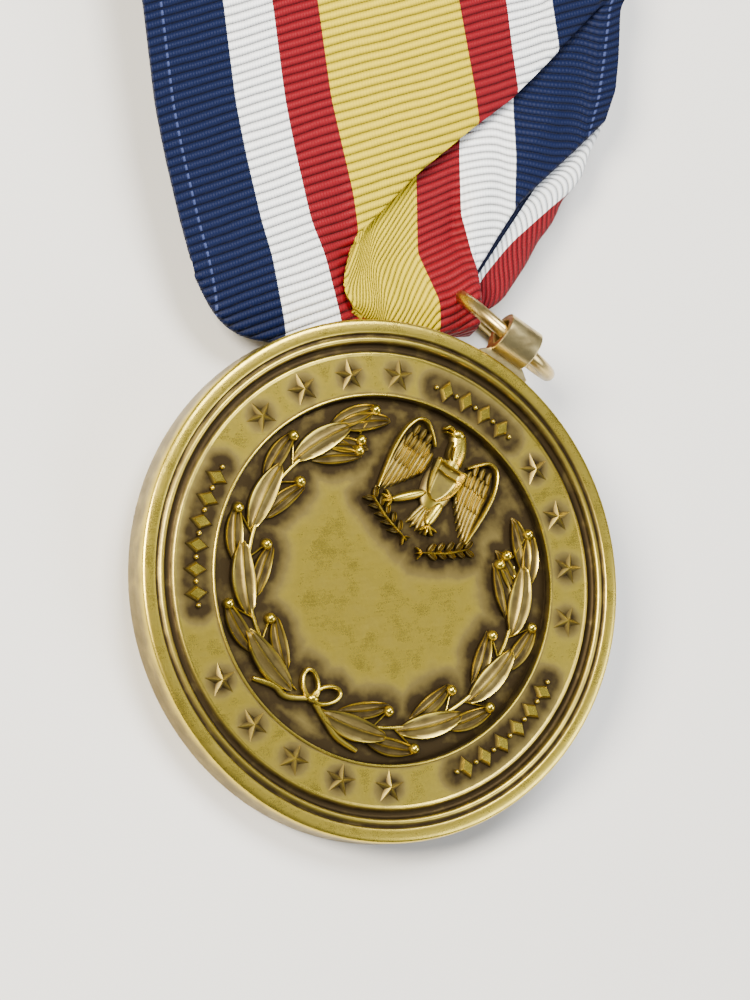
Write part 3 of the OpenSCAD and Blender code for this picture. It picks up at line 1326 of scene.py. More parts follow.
def new_tree(name: str, inputs: Sequence[tuple[str, str, object]]) -> tuple[
    bpy.types.NodeTree, bpy.types.Node, bpy.types.Node
]:
    """Start a geometry tree with named inputs.

    Args:
        name: The tree's name.
        inputs: Each input's name, socket type and default.

    Returns:
        The tree, its input node and its output node.
    """
    tree = bpy.data.node_groups.new(name, "GeometryNodeTree")
    tree.interface.new_socket("Geometry", in_out="INPUT", socket_type="NodeSocketGeometry")
    tree.interface.new_socket("Geometry", in_out="OUTPUT", socket_type="NodeSocketGeometry")
    for label, kind, default in inputs:
        socket = tree.interface.new_socket(label, in_out="INPUT", socket_type=kind)
        if default is not None:
            socket.default_value = default
    return tree, tree.nodes.new("NodeGroupInput"), tree.nodes.new("NodeGroupOutput")


ROW_INPUTS: tuple[tuple[str, str, object], ...] = (
    ("First angle", "NodeSocketFloat", 0.0),
    ("Pitch", "NodeSocketFloat", 0.25),
    ("Count", "NodeSocketInt", 5),
    ("Circle", "NodeSocketFloat", 12.5),
    ("Ground", "NodeSocketFloat", 0.0),
    ("Height", "NodeSocketFloat", 0.3),
    ("Finish", "NodeSocketMaterial", None),
)


def arc_row(
    tree: bpy.types.NodeTree, count: Socket, first: Socket, pitch: Socket, circle: Socket,
    ground: Socket, piece: Socket, turn: Socket | float,
) -> Socket:
    """Set one piece along an arc, each turned to face outward.

    Args:
        tree: The tree.
        count: How many.
        first: Angle of the first, clockwise from the top.
        pitch: Angle from one to the next.
        circle: Radius of the arc.
        ground: Level that they stand on.
        piece: The geometry that repeats.
        turn: Extra turn of each piece about its own middle.

    Returns:
        The instances.
    """
    row = add_node(tree, "GeometryNodeMeshLine", {"mode": "OFFSET"}, {"Count": count})
    index = add_node(tree, "GeometryNodeInputIndex").outputs[0]
    angle = math_node(tree, "MULTIPLY_ADD", index, pitch, first)
    spot = add_node(
        tree,
        "ShaderNodeCombineXYZ",
        {},
        {
            "X": math_node(tree, "MULTIPLY", circle, math_node(tree, "SINE", angle)),
            "Y": math_node(tree, "MULTIPLY", circle, math_node(tree, "COSINE", angle)),
            "Z": ground,
        },
    )
    placed = add_node(
        tree,
        "GeometryNodeSetPosition",
        {},
        {"Geometry": row.outputs[0], "Position": spot.outputs[0]},
    )
    facing = math_node(tree, "SUBTRACT", turn, angle)
    spin = add_node(tree, "ShaderNodeCombineXYZ", {}, {"Z": facing})
    return add_node(
        tree,
        "GeometryNodeInstanceOnPoints",
        {},
        {"Points": placed.outputs[0], "Instance": piece, "Rotation": spin.outputs[0]},
    ).outputs[0]


def end_tree(
    tree: bpy.types.NodeTree, output: bpy.types.Node, geometry: Socket, finish: Socket
) -> None:
    """Realize the instances, set their finish and end the tree.

    Args:
        tree: The tree.
        output: Its output node.
        geometry: The instances.
        finish: The material.
    """
    real = add_node(tree, "GeometryNodeRealizeInstances", {}, {0: geometry})
    dressed = add_node(
        tree, "GeometryNodeSetMaterial", {}, {"Geometry": real.outputs[0], "Material": finish}
    )
    tree.links.new(dressed.outputs[0], output.inputs[0])


def with_patina(tree: bpy.types.NodeTree, geometry: Socket, value: Socket | float) -> Socket:
    """Store how dark each point is.

    Args:
        tree: The tree.
        geometry: What gets the patina attribute.
        value: The darkness, 0 to 1.

    Returns:
        The same geometry with the attribute.
    """
    return add_node(
        tree,
        "GeometryNodeStoreNamedAttribute",
        {"data_type": "FLOAT", "domain": "POINT"},
        {"Geometry": geometry, "Name": "patina", "Value": value},
    ).outputs[0]


def star_tree() -> bpy.types.NodeTree:
    """Five-pointed stars with ridged arms, along an arc.

    Returns:
        The tree, with its sizes as named inputs.
    """
    extra = (("Turn", "NodeSocketFloat", 0.0), ("Star radius", "NodeSocketFloat", 1.1))
    tree, given, output = new_tree("ridged_stars", ROW_INPUTS + extra)
    size = given.outputs["Star radius"]
    height = given.outputs["Height"]
    cone = add_node(
        tree,
        "GeometryNodeMeshCone",
        {"fill_type": "NGON"},
        {"Vertices": 10, "Side Segments": 1, "Radius Top": 0.0, "Radius Bottom": size,
         "Depth": height},
    )
    split = add_node(
        tree,
        "ShaderNodeSeparateXYZ",
        {},
        {"Vector": add_node(tree, "GeometryNodeInputPosition").outputs[0]},
    )
    bearing = math_node(tree, "ARCTAN2", split.outputs["X"], split.outputs["Y"])
    arm = math_node(tree, "COSINE", math_node(tree, "MULTIPLY", bearing, 5.0))
    reach = math_node(tree, "MULTIPLY_ADD", arm, 0.3, 0.7)
    pulled = add_node(
        tree,
        "ShaderNodeCombineXYZ",
        {},
        {
            "X": math_node(tree, "MULTIPLY", split.outputs["X"], reach),
            "Y": math_node(tree, "MULTIPLY", split.outputs["Y"], reach),
            "Z": split.outputs["Z"],
        },
    )
    turned = add_node(
        tree,
        "GeometryNodeTransform",
        {},
        {"Geometry": cone.outputs["Mesh"], "Rotation": (0.0, 0.0, math.pi / 10 * 5)},
    )
    star = add_node(
        tree,
        "GeometryNodeSetPosition",
        {},
        {"Geometry": turned.outputs[0], "Position": pulled.outputs[0]},
    )
    notch = math_node(tree, "MULTIPLY_ADD", arm, -0.36, 0.5)
    low = math_node(tree, "LESS_THAN", split.outputs["Z"], 0.01)
    dark = math_node(tree, "MULTIPLY", notch, low)
    stained = with_patina(tree, star.outputs[0], math_node(tree, "ADD", dark, 0.22))
    sunk = add_node(
        tree, "GeometryNodeTransform", {}, {"Geometry": stained, "Translation": (0.0, 0.0, -0.02)}
    )
    row = arc_row(
        tree, given.outputs["Count"], given.outputs["First angle"], given.outputs["Pitch"],
        given.outputs["Circle"], given.outputs["Ground"], sunk.outputs[0], given.outputs["Turn"],
    )
    end_tree(tree, output, row, given.outputs["Finish"])
    return tree


def border_tree() -> bpy.types.NodeTree:
    """Cut lozenges with pearls between them, along an arc.

    Returns:
        The tree, with its sizes as named inputs.
    """
    extra = (
        ("Half length", "NodeSocketFloat", 0.68),
        ("Half width", "NodeSocketFloat", 0.5),
        ("Pearl radius", "NodeSocketFloat", 0.19),
    )
    tree, given, output = new_tree("lozenge_border", ROW_INPUTS + extra)
    height = given.outputs["Height"]
    block = add_node(
        tree,
        "GeometryNodeMeshCone",
        {},
        {"Vertices": 4, "Radius Top": 0.6, "Radius Bottom": 1.0, "Depth": 1.0},
    )
    sizes = {"Segments": 32, "Rings": 16, "Radius": 1.0}
    ball = add_node(tree, "GeometryNodeMeshUVSphere", {}, sizes)
    level = add_node(
        tree,
        "ShaderNodeSeparateXYZ",
        {},
        {"Vector": add_node(tree, "GeometryNodeInputPosition").outputs[0]},
    ).outputs["Z"]
    dark = math_node(tree, "MULTIPLY_ADD", level, -1.05, 0.9)

    def shaped(solid: Socket, wide: Socket, long: Socket) -> Socket:
        """One stained solid of this half width and half length.

        Args:
            solid: The solid of radius one.
            wide: Its half width.
            long: Its half length.

        Returns:
            The stretched solid.
        """
        size = add_node(tree, "ShaderNodeCombineXYZ", {}, {"X": wide, "Y": long, "Z": height})
        stained = with_patina(tree, solid, dark)
        return add_node(
            tree, "GeometryNodeTransform", {}, {"Geometry": stained, "Scale": size.outputs[0]}
        ).outputs[0]

    lozenge = shaped(block.outputs[0], given.outputs["Half width"], given.outputs["Half length"])
    pearl = shaped(ball.outputs[0], given.outputs["Pearl radius"], given.outputs["Pearl radius"])
    half = math_node(tree, "MULTIPLY", given.outputs["Pitch"], -0.5)
    before = math_node(tree, "ADD", given.outputs["First angle"], half)
    more = math_node(tree, "ADD", given.outputs["Count"], 1.0)
    lozenges = arc_row(
        tree, given.outputs["Count"], given.outputs["First angle"], given.outputs["Pitch"],
        given.outputs["Circle"], given.outputs["Ground"], lozenge, 0.0,
    )
    pearls = arc_row(
        tree, more, before, given.outputs["Pitch"],
        given.outputs["Circle"], given.outputs["Ground"], pearl, 0.0,
    )
    both = add_node(tree, "GeometryNodeJoinGeometry")
    tree.links.new(lozenges, both.inputs[0])
    tree.links.new(pearls, both.inputs[0])
    end_tree(tree, output, both.outputs[0], given.outputs["Finish"])
    return tree


def berry_tree() -> bpy.types.NodeTree:
    """A round berry on every point.

    Returns:
        The tree, with the berry's radius as a named input.
    """
    tree, given, output = new_tree(
        "wreath_berries",
        (("Radius", "NodeSocketFloat", 0.28), ("Finish", "NodeSocketMaterial", None)),
    )
    sizes = {"Radius": given.outputs["Radius"], "Subdivisions": 4}
    ball = add_node(tree, "GeometryNodeMeshIcoSphere", {}, sizes)
    level = add_node(
        tree,
        "ShaderNodeSeparateXYZ",
        {},
        {"Vector": add_node(tree, "GeometryNodeInputPosition").outputs[0]},
    ).outputs["Z"]
    rise = math_node(tree, "DIVIDE", level, given.outputs["Radius"])
    dark = math_node(tree, "MULTIPLY_ADD", rise, -1.3, 0.95)
    stained = with_patina(tree, ball.outputs[0], dark)
    taller = add_node(
        tree, "GeometryNodeTransform", {}, {"Geometry": stained, "Scale": (1.0, 1.0, 1.55)}
    )
    berries = add_node(
        tree,
        "GeometryNodeInstanceOnPoints",
        {},
        {"Points": given.outputs["Geometry"], "Instance": taller.outputs[0]},
    )
    end_tree(tree, output, berries.outputs[0], given.outputs["Finish"])
    return tree


# ------------------------------------------------------------- jump ring


@dataclass
class JumpRing:
    """A round wire bent to a ring, its cut ends butted together."""

    wire: float = 0.45
    gap: float = 0.06
    turns: int = 180
    sides: int = 24

    def make(self, material: bpy.types.Material) -> bpy.types.Object:
        """Build the ring through the lug's roll and the ribbon's gather.

        Args:
            material: The wire's finish.

        Returns:
            The ring.
        """
        low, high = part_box("jump_ring")
        centre = (Vector(low) + Vector(high)) / 2
        joints = {j["name"]: Vector(j["pos_m"]) for j in frame["joints"]}
        roll, hold = joints["medal_tilt"] - centre, joints["sideways_swing"] - centre
        radius = roll.length / MM
        normal = roll.cross(hold).normalized()
        first = roll.normalized()
        second = normal.cross(first)
        # the cut lies opposite the ribbon, low and behind the roll
        start = math.atan2(-hold.dot(second), -hold.dot(first)) - 0.5
        half = self.gap / radius / 2
        a = start + np.linspace(half, 2 * np.pi - half, self.turns)
        b = np.arange(self.sides) * 2 * np.pi / self.sides
        around = np.cos(a)[:, None] * np.array(first) + np.sin(a)[:, None] * np.array(second)
        sections = (
            around[:, None, :] * (radius + self.wire * np.cos(b))[None, :, None]
            + np.array(normal) * (self.wire * np.sin(b))[None, :, None]
        )
        shell = Shell()
        shell.loft(sections)
        place = Matrix.Translation(centre) @ Matrix.Scale(MM, 4)
        piece = shell.build("butted_jump_ring", place, material)
        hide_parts("jump_ring")
        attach(piece, "ring")
        return piece


# ---------------------------------------------------------------- ribbon


def bend_through(points: Array, step: float, radius: float) -> Array:
    """Round a polyline's corners and space its points evenly.

    Args:
        points: The corners, one in each row.
        step: Spacing of the result.
        radius: Length over which each corner is rounded.

    Returns:
        The rounded path.
    """
    keep = [points[0]]
    for k in range(1, len(points) - 1):
        a, b, c = points[k - 1], points[k], points[k + 1]
        la, lc = np.linalg.norm(a - b), np.linalg.norm(c - b)
        cut_a, cut_c = min(radius, 0.45 * la), min(radius, 0.45 * lc)
        p = b + (a - b) * cut_a / max(la, 1e-9)
        q = b + (c - b) * cut_c / max(lc, 1e-9)
        for t in np.linspace(0, 1, 9):
            keep.append((1 - t) ** 2 * p + 2 * t * (1 - t) * b + t * t * q)
    keep.append(points[-1])
    keep = np.array(keep)
    run = np.append(0, np.cumsum(np.linalg.norm(np.diff(keep, axis=0), axis=1)))
    count = max(8, int(run[-1] / step))
    even = np.linspace(0, run[-1], count)
    return np.column_stack([np.interp(even, run, keep[:, k]) for k in range(3)])


@dataclass
class Ribbon:
    """One loop of grosgrain: pleated front, gather on the ring, folded rear.

    Places are in millimetres in the row frame, and columns are counted in
    millimetres across the flat ribbon from its left edge.
    """

    width: float = 35.0
    thick: float = 0.24
    columns: int = 141
    rows: tuple[int, int, int, int] = (84, 30, 64, 44)
    pleat_start: float = 11.85
    pleat_end: float = 33.4
    pleat_depth: float = 2.2
    skew: float = 0.25
    left: float = 0.0
    top: float = 0.0
    fold_line: tuple[tuple[float, float], ...] = (
        (-5.0, -7.4), (-4.4, -5.7), (-2.0, -1.6), (2.9, 1.6), (7.0, 4.1),
        (11.0, 6.3), (15.1, 9.3), (19.3, 12.6),
    )
    right_edge: tuple[tuple[float, float], ...] = (
        (4.4, -5.8), (5.3, -5.2), (7.5, -3.0), (10.1, -0.5), (12.4, 1.0), (15.2, 2.8), (18.0, 4.7)
    )
    rear_edge: tuple[tuple[float, float], ...] = (
        (20.0, 9.0), (18.8, 5.0), (15.9, 1.0), (13.1, -1.7), (10.4, -4.3), (7.7, -6.9),
    )

    def make(self, material: bpy.types.Material, rests: Sequence[str]) -> None:
        """Build the front and rear of the loop.

        Args:
            material: The grosgrain.
            rests: Names of what the ribbon hangs from; not used.
        """
        low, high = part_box("brooch_bar")
        middle = (low[0] + high[0]) / 2 / MM
        self.left = middle - self.width / 2
        self.top = high[1] / MM - 1.4
        for name, sheet, shift in (
            ("ribbon_front", self.front(), self.lower_ribs()), ("ribbon_rear", self.rear(), 0.0)
        ):
            piece, length = self.weave(name, sheet, shift, material)
            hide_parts("ribbon")
            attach(piece, "hanger")

    def level(self, y: float, column: float) -> float:
        """Height of the front layer's face, with its soft swell.

        Args:
            y: Place up the ribbon.
            column: Place across it.

        Returns:
            The height over the table.
        """
        rise = float(np.interp(y, [-9, -6, 0, 6, 14, 24, 39], [2.7, 3.0, 3.6, 4.1, 4.6, 4.9, 5.0]))
        swell = 0.45 * math.exp(-(((column - 14) / 8) ** 2)) * math.exp(-(((y - 6) / 12) ** 2))
        return rise + swell

    def spread(self, y: float, column: float) -> float:
        """How far a column leans out from its straight run at y.

        Args:
            y: Place up the ribbon.
            column: Place across it.

        Returns:
            The shift along X.
        """
        heights = [-4, 0.2, 3.3, 6.5, 12.9, 24, 38]
        west = float(np.interp(y, heights, [0, -0.6, -0.85, -1.0, -0.7, -0.3, 0]))
        east = float(np.interp(y, [9.5, 12.9, 24, 38], [0.3, 1.3, 0.8, 0]))
        ends = smoothstep(10.0, 20.0, np.array(column)), smoothstep(20.0, 35.0, np.array(column))
        return west * (1 - float(ends[0])) + east * float(ends[1])

    def proud(self, column: float) -> float:
        """How far the panel's left end lies over the stripes beside it, 0 to 1."""
        return 1 - float(smoothstep(13.8, 16.8, np.array(column)))

    def fold_y(self, x: float) -> float:
        """Height of the pleat's fold line at x."""
        line = np.array(self.fold_line)
        return float(np.interp(x, line[:, 0], line[:, 1]))

    def run(self, parts: Sequence[Sequence[Point]], radius: float) -> Array:
        """Turn one column's stretches into an even row of points.

        Args:
            parts: The column's four stretches; each ends at a fold.
            radius: How softly its corners bend.

        Returns:
            The column's points, with the same count in each stretch on all.
        """
        raw = np.array([p for part in parts for p in part], float)
        gone = np.append(0, np.cumsum(np.linalg.norm(np.diff(raw, axis=0), axis=1)))
        ends = np.cumsum([len(part) for part in parts]) - 1
        cuts = np.append(0, gone[ends] / gone[-1])
        path = bend_through(raw, 0.06, radius)
        length = np.append(0, np.cumsum(np.linalg.norm(np.diff(path, axis=0), axis=1)))
        at = [
            np.linspace(cuts[k], cuts[k + 1], n, endpoint=False) for k, n in enumerate(self.rows)
        ]
        at = np.append(np.concatenate(at), 1.0) * length[-1]
        return np.column_stack([np.interp(at, length, path[:, k]) for k in range(3)])

    def front(self) -> Array:
        """Points of the front layer, column by column, from the bar down.

        Returns:
            The sheet's points.
        """
        return self.soften([
            self.plain_column(c) if c < self.pleat_start else self.pleated_column(c)
            for c in np.linspace(0, self.width, self.columns)
        ])

    def plain_column(self, c: float) -> Array:
        """One column left of the pleat, curled under at the loop's foot.

        Args:
            c: Place across the flat ribbon.

        Returns:
            The column's points.
        """
        x = self.left + c
        foot = -4.4 - 4.2 * (1 - math.exp(-c / 1.6))
        fan = 2.3 * (c / self.pleat_start) ** 3
        tuck = 0.8 * math.exp(-c / 1.4)
        # beside the pleat it dips beneath the yellow panel
        beside = float(smoothstep(8.6, 11.5, np.array(c)))
        dip = 1.1 * beside
        z = self.level(foot + 1, c) - 0.15 - dip

        def at(y: float) -> Point:
            """A point of the column on the face.

            Args:
                y: Place up the ribbon.

            Returns:
                The point.
            """
            share = float(np.interp(y, [-7.4, -3.2, -1.3], [0.8, 0.35, 0.0]))
            sunk = dip * float(np.interp(y, [-4.0, -1.2], [1.0, 0.0]))
            return (x + self.spread(y, c) + fan * share, y, self.level(y, c) - sunk)

        first = [at(y) for y in (self.top, 30.0, 20.0, 12.9, 6.5, 3.3, -0.6 - 1.6 * beside)]
        second = [at(-1.3 - 3.6 * beside)]
        third = [at(-3.2 - 2.4 * beside), at(foot + 1.2), (x + fan + 0.3 * tuck, foot, z - 0.2)]
        fourth = [(x + fan + tuck, foot + 0.35, z - 0.85), (x + fan + tuck, foot + 2.6, z - 0.75)]
        return self.run([first, second, third, fourth], 0.8)

    def pleated_column(self, c: float) -> Array:
        """One column that runs over the pleat and down to the ring.

        Args:
            c: Place across the flat ribbon.

        Returns:
            The column's points.
        """
        x = self.left + c
        depth = float(smoothstep(14.8, 17.8, np.array(c)))
        depth *= 1 - float(smoothstep(27.0, self.pleat_end, np.array(c)))
        px = min(x + self.spread(self.fold_y(x), c), 19.25)
        py = self.fold_y(px)
        qx = float(np.interp(
            c, [11.6, 12.2, 17, 21.9, 25.35, 29.05, 31.5, 33.4],
            [-4.3, -3.9, -0.8, 2.9, 6.7, 11.3, 15.6, 19.1],
        ))
        qy = self.fold_y(qx)
        proud = self.proud(c)
        pz, qz = self.level(py, c), self.level(qy, c) - 0.75 + 0.9 * proud
        heights = [y for y in (self.top, 30.0, 20.0, 12.9, 6.5) if y > py + 4 or y > 19]
        first = [(x + self.spread(y, c), y, self.level(y, c)) for y in heights]
        if c > self.pleat_end:
            bow = c - self.pleat_end
            first += [(x + 1.0, 16.5, self.level(16.5, c)), (x + 0.8 - 0.1 * bow, 13.2, 4.4)]
            second = [(x + 0.5 - 0.3 * bow, 12.4, 4.3)]
            start = (x - 0.8, 9.0, 4.0)
        else:
            first += [(px, py + 2.5, self.level(py + 2.5, c) + 0.1), (px, py, pz)]
            reach = self.pleat_depth * depth + 0.12
            hidden = ((px + qx) / 2 - 0.5 * reach, (py + qy) / 2 + 0.86 * reach, qz - 0.15)
            second = [hidden, (qx, qy, qz)]
            start = (qx - 0.15, qy - 0.5, qz)
        if c <= 25.35:
            third, fourth = self.to_ring(c, start)
        else:
            third, fourth = self.under_edge(c, start)
        return self.run([first, second, third, fourth], 0.45)

    def to_ring(self, c: float, start: Point) -> tuple[list[Point], list[Point]]:
        """The yellow and red columns, bunched over the ring's wire.

        Args:
            c: Place across the flat ribbon.
            start: Where the column leaves the pleat.

        Returns:
            The column's third and fourth stretches.
        """
        marks = [11.6, 12.2, 17, 21.9, 25.35]
        mx = float(np.interp(c, marks, [-4.25, -4.1, -1.7, 2.0, 5.1]))
        my = float(np.interp(c, marks, [-5.9, -5.7, -4.2, -3.4, -2.2]))
        ex = float(np.interp(c, marks, [-3.8, -3.6, -1.3, 2.1, 5.2]))
        ey = float(np.interp(c, marks, [-6.7, -6.9, -7.7, -8.8, -8.9]))
        gather = float(smoothstep(19.5, 24.5, np.array(c)))
        proud = self.proud(c)
        crumple = 0.22 * math.sin(2 * math.pi * (c - 11.6) / 3.1) * (0.3 + 0.7 * gather)
        fold = 0.28 * math.sin(2 * math.pi * (c - 15.0) / 7.0)
        mz = self.level(my, c) - 0.45 + 0.5 * proud + fold * (1 - proud)
        over = ((mx + 2 * ex) / 3, (my + 2 * ey) / 3, 3.35 + 1.45 * gather + crumple)
        third = [start, (mx, my, mz), over, (ex, ey + 0.25, 2.95 + 1.05 * gather + crumple)]
        fourth = [(ex + 0.1, ey, 2.5), (ex + 0.3, ey + 0.6, 2.1), (ex + 0.5, ey + 2.4, 2.1)]
        return third, fourth

    def under_edge(self, c: float, start: Point) -> tuple[list[Point], list[Point]]:
        """The white and navy columns, turned under along the slanting edge.

        Args:
            c: Place across the flat ribbon.
            start: Where the column leaves the pleat.

        Returns:
            The column's third and fourth stretches.
        """
        edge = np.array(self.right_edge)
        dx = float(np.interp(c, [25.35, 27, 29.05, 32, 35], [4.5, 6.6, 9.3, 13.8, 18.0]))
        dy = float(np.interp(dx, edge[:, 0], edge[:, 1]))
        dz = float(np.interp(dx, [4.4, 10, 18], [4.2, 3.75, 3.8]))
        ripple = 0.16 * math.sin(2 * math.pi * (c - 25.35) / 4.2)
        middle = (
            0.5 * (start[0] + dx) + 0.15,
            0.5 * (start[1] + dy),
            0.5 * (start[2] + dz) + 0.15 + ripple,
        )
        third = [start, middle, (dx, dy, dz)]
        gx, gy = 4.3 + 0.02 * c, -6.2
        fourth = [
            (dx - 0.35, dy - 0.05, dz - 0.45),
            (0.6 * dx + 0.4 * gx - 0.5, 0.6 * dy + 0.4 * gy + 0.6, 3.05),
            (gx, gy, 2.9),
            (gx + 0.3, gy - 1.4, 2.4),
        ]
        return third, fourth

    def lower_ribs(self) -> Array:
        """How far the ribs slip along each column below the pleat, in mm.

        Returns:
            The slip at each column and row.
        """
        c = np.linspace(0, self.width, self.columns)
        slip = np.where(c < self.pleat_start - 0.3, 0.0, -0.55 * np.clip(21.9 - c, 0, None))
        row = np.arange(sum(self.rows) + 1)
        begin = self.rows[0]
        return slip[:, None] * smoothstep(begin + 4, begin + self.rows[1] - 4, row)[None, :]

    def rear(self) -> Array:
        """Points of the rear layer, its right side folded to the front.

        Returns:
            The sheet's points.
        """
        edge = np.array(self.rear_edge)
        crease = np.array([27.5, 26.6, 25.5, 23.9, 22.7, 22.2])
        flap = np.array([0.7, 0.75, 0.75, 0.75, 0.72, 0.7])
        back = np.array([1.0, 0.98, 0.85, 0.65, 0.5, 0.25])
        columns = []
        for c in np.linspace(0, self.width, self.columns):
            x = self.left + c
            first = [(x, self.top, 4.3), (x, 28.0, 4.2), (0.98 * x, 17.0, 3.5)]
            stations = []
            for k in range(len(edge)):
                d = c - crease[k]
                if d > 0:
                    way, share, lift = np.array([-0.73, 0.68]), flap[k], 0.3
                else:
                    way, share, lift = np.array([-1.0, 0.3]), back[k], -0.3
                spot = edge[k] + way * share * (math.sqrt(d * d + 0.09) - 0.3)
                z = 2.85 - 0.06 * k + lift * math.tanh(abs(d) / 0.5)
                stations.append((float(spot[0]), float(spot[1]), z))
            f = c / self.width
            fourth = [stations[5], (4.9 + 0.6 * f, -7.4, 2.2), (4.6 + 0.4 * f, -8.2, 2.0)]
            columns.append(self.run([first, stations[:2], stations[2:5], fourth], 1.2))
        return self.soften(columns)

    def soften(self, columns: list[Array]) -> Array:
        """Ease each column a little towards its neighbours.

        Args:
            columns: The columns' points.

        Returns:
            The eased sheet.
        """
        sheet = np.array(columns)
        for _ in range(2):
            sheet[1:-1] = 0.25 * sheet[:-2] + 0.5 * sheet[1:-1] + 0.25 * sheet[2:]
        return sheet

    def weave(
        self, name: str, sheet: Array, slip: Array | float, material: bpy.types.Material
    ) -> tuple[bpy.types.Object, float]:
        """Make a thin closed sheet whose cloth map follows the weave.

        Args:
            name: The piece's name.
            sheet: Its points, by column and row.
            slip: How far the ribs slip along each column.
            material: The grosgrain.

        Returns:
            The piece and its mean length in millimetres.
        """
        columns, rows = sheet.shape[:2]
        step = np.linalg.norm(np.diff(sheet, axis=1), axis=2)
        run = np.concatenate([np.zeros((columns, 1)), np.cumsum(step, axis=1)], axis=1)
        across = np.linspace(0, 1, columns)[:, None]
        # the weave leans, as the ribs rise to the right
        along = (run + slip) / self.width + self.skew * across
        cloth = np.stack([np.broadcast_to(across, run.shape), along], axis=-1)
        du, dv = np.gradient(sheet, axis=0), np.gradient(sheet, axis=1)
        normal = np.cross(du, dv)
        normal /= np.maximum(np.linalg.norm(normal, axis=2, keepdims=True), 1e-9)
        upper = sheet - normal * self.thick / 2
        lower = sheet + normal * self.thick / 2
        both = np.concatenate([upper, lower[:, ::-1]], axis=1)
        map_both = np.concatenate([cloth, cloth[:, ::-1]], axis=1)
        shell = Shell()
        faces = grid_quads(columns, 2 * rows, False, True).tolist()
        for at in (0, (columns - 1) * 2 * rows):
            for k in range(rows - 1):
                side = [at + k, at + k + 1, at + 2 * rows - 2 - k, at + 2 * rows - 1 - k]
                faces.append(side)
        shell.add(both.reshape(-1, 3), faces, 0.0, map_both.reshape(-1, 2))
        place = Matrix.Scale(MM, 4)
        piece = shell.build(name, place, material, crease=70)
        return piece, float(run[:, -1].mean())


# ------------------------------------------------------- carried-over CAD


def dress(node: str, material: bpy.types.Material) -> None:
    """Give a CAD node its finish.

    Args:
        node: The node's name.
        material: The finish.
    """
    mesh = frame["nodes"][node].data
    mesh.materials.clear()
    mesh.materials.append(material)
    LOG.info("%s: CAD shape, %s", node, material.name)


# ---------------------------------------------------------------- studio


@dataclass(frozen=True)
class Lamp:
    """One soft area light: where it stands and how strong and wide it is."""

    name: str
    place: Point
    watts: float
    width: float
    colour: str = "#FFFFFF"


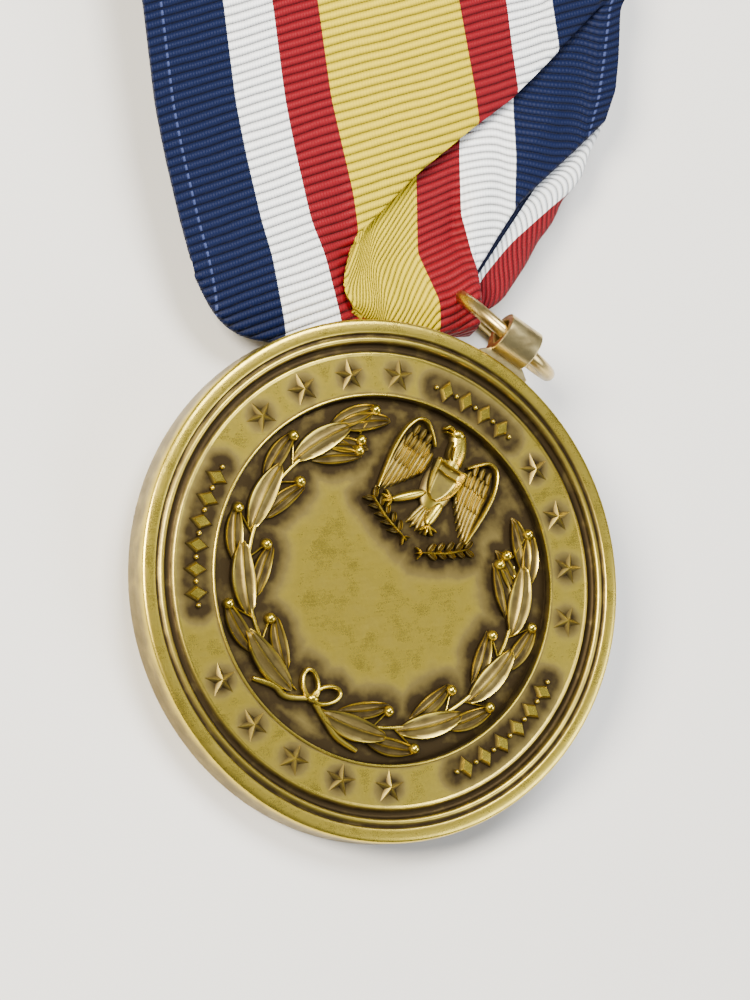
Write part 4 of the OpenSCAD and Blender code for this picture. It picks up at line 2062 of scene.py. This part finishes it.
@dataclass
class Studio:
    """Pale table, soft lights and the camera over the medal."""

    eye: Point = (-0.106143, -0.051003, 0.167343)
    right: Point = (0.8511, -0.1945, 0.4877)
    down: Point = (-0.0833, -0.9671, -0.2404)
    lens: float = 115.2
    lamps: tuple[Lamp, ...] = (
        Lamp("key", (-0.30, 0.06, 0.30), 5.0, 0.16, "#FFF6E6"),
        Lamp("top", (0.05, 0.22, 0.42), 4.0, 0.26, "#FFFFFF"),
        Lamp("fill", (0.28, -0.22, 0.26), 1.6, 0.30, "#F2F6FF"),
    )

    def build(self) -> None:
        """Set up floor, lights, sky and camera."""
        self.floor()
        for lamp in self.lamps:
            self.light(lamp)
        world = bpy.data.worlds.new("soft_room")
        world.use_nodes = True
        sky = world.node_tree.nodes["Background"]
        sky.inputs["Color"].default_value = linear("#C9CDD2")
        sky.inputs["Strength"].default_value = 0.35
        bpy.context.scene.world = world
        self.camera()

    def floor(self) -> None:
        """A wide pale table top."""
        material, tree, shader = principled("pale_table")
        place = add_node(tree, "ShaderNodeTexCoord").outputs["Object"]
        mottle = noise(tree, place, per_mm(30), 4.0)
        ramp = add_node(tree, "ShaderNodeValToRGB", {}, {"Fac": mottle})
        ramp.color_ramp.elements[0].color = linear("#D9D7D2")
        ramp.color_ramp.elements[1].color = linear("#E2E0DB")
        add_links(tree, shader, {"Base Color": ramp.outputs["Color"], "Roughness": 0.85})
        mesh = bpy.data.meshes.new("table_top")
        edge = 1.5
        corners = [(-edge, -edge, 0), (edge, -edge, 0), (edge, edge, 0), (-edge, edge, 0)]
        mesh.from_pydata(corners, [], [(0, 1, 2, 3)])
        mesh.materials.append(material)
        floor = bpy.data.objects.new("table_top", mesh)
        bpy.context.scene.collection.objects.link(floor)

    def light(self, lamp: Lamp) -> None:
        """Hang one area light that faces the medal.

        Args:
            lamp: The light's place and strength.
        """
        data = bpy.data.lights.new(lamp.name, "AREA")
        data.shape = "DISK"
        data.size = lamp.width
        data.energy = lamp.watts
        data.color = linear(lamp.colour)[:3]
        light = bpy.data.objects.new(lamp.name, data)
        light.location = lamp.place
        aim = Vector((-0.004, -0.015, 0.004)) - Vector(lamp.place)
        light.rotation_euler = aim.to_track_quat("-Z", "Y").to_euler()
        bpy.context.scene.collection.objects.link(light)

    def camera(self) -> None:
        """Place the camera above the disc, a little to its left."""
        right = Vector(self.right).normalized()
        down = Vector(self.down)
        down = (down - right * down.dot(right)).normalized()
        forward = right.cross(down)
        data = bpy.data.cameras.new("view")
        data.lens = self.lens
        data.sensor_width = 36.0
        data.sensor_fit = "AUTO"
        data.clip_start = 0.01
        data.clip_end = 10.0
        camera = bpy.data.objects.new("view", data)
        turn = Matrix((right, -down, -forward)).transposed().to_4x4()
        camera.matrix_world = Matrix.Translation(self.eye) @ turn
        bpy.context.scene.collection.objects.link(camera)
        bpy.context.scene.camera = camera


def main() -> None:
    """Build and dress every piece, then the studio round them."""
    logging.basicConfig(level=logging.INFO, format="%(name)s %(message)s")
    bronze = AntiquedBronze().build()
    ring_brass = Brass("drawn_ring_brass", "#C4AC6E", "#80683A", 0.24, 0.5, 0.5, (1, 1, 1)).build()
    lug_brass = Brass("polished_lug_brass", "#CDBA82", "#80683C", 0.26, 0.5, 0.8, (1, 3, 1)).build()
    bar_brass = Brass("satin_sheet_brass", "#B59A55", "#7D6434", 0.3, 0.3, 0.6, (1, 18, 1)).build()
    wire_brass = Brass("drawn_pin_wire", "#C6B078", "#8A7446", 0.24, 0.25, 0.4, (0.2, 8, 8)).build()
    grosgrain = Grosgrain().build()

    medal = Medal()
    lie = DiscFrame.from_record(frame["record"], medal.thickness * MM)
    medal.make(lie, bronze, lug_brass)
    ring = JumpRing().make(ring_brass)
    Ribbon().make(grosgrain, ["brooch_bar", ring.name])
    for node in ("brooch_bar", "pin_joint", "catch_base"):
        dress(node, bar_brass)
    for node in ("pin_stem", "pin_rivet", "catch_rotor"):
        dress(node, wire_brass)
    Studio().build()


if __name__ == "__main__":
    main()
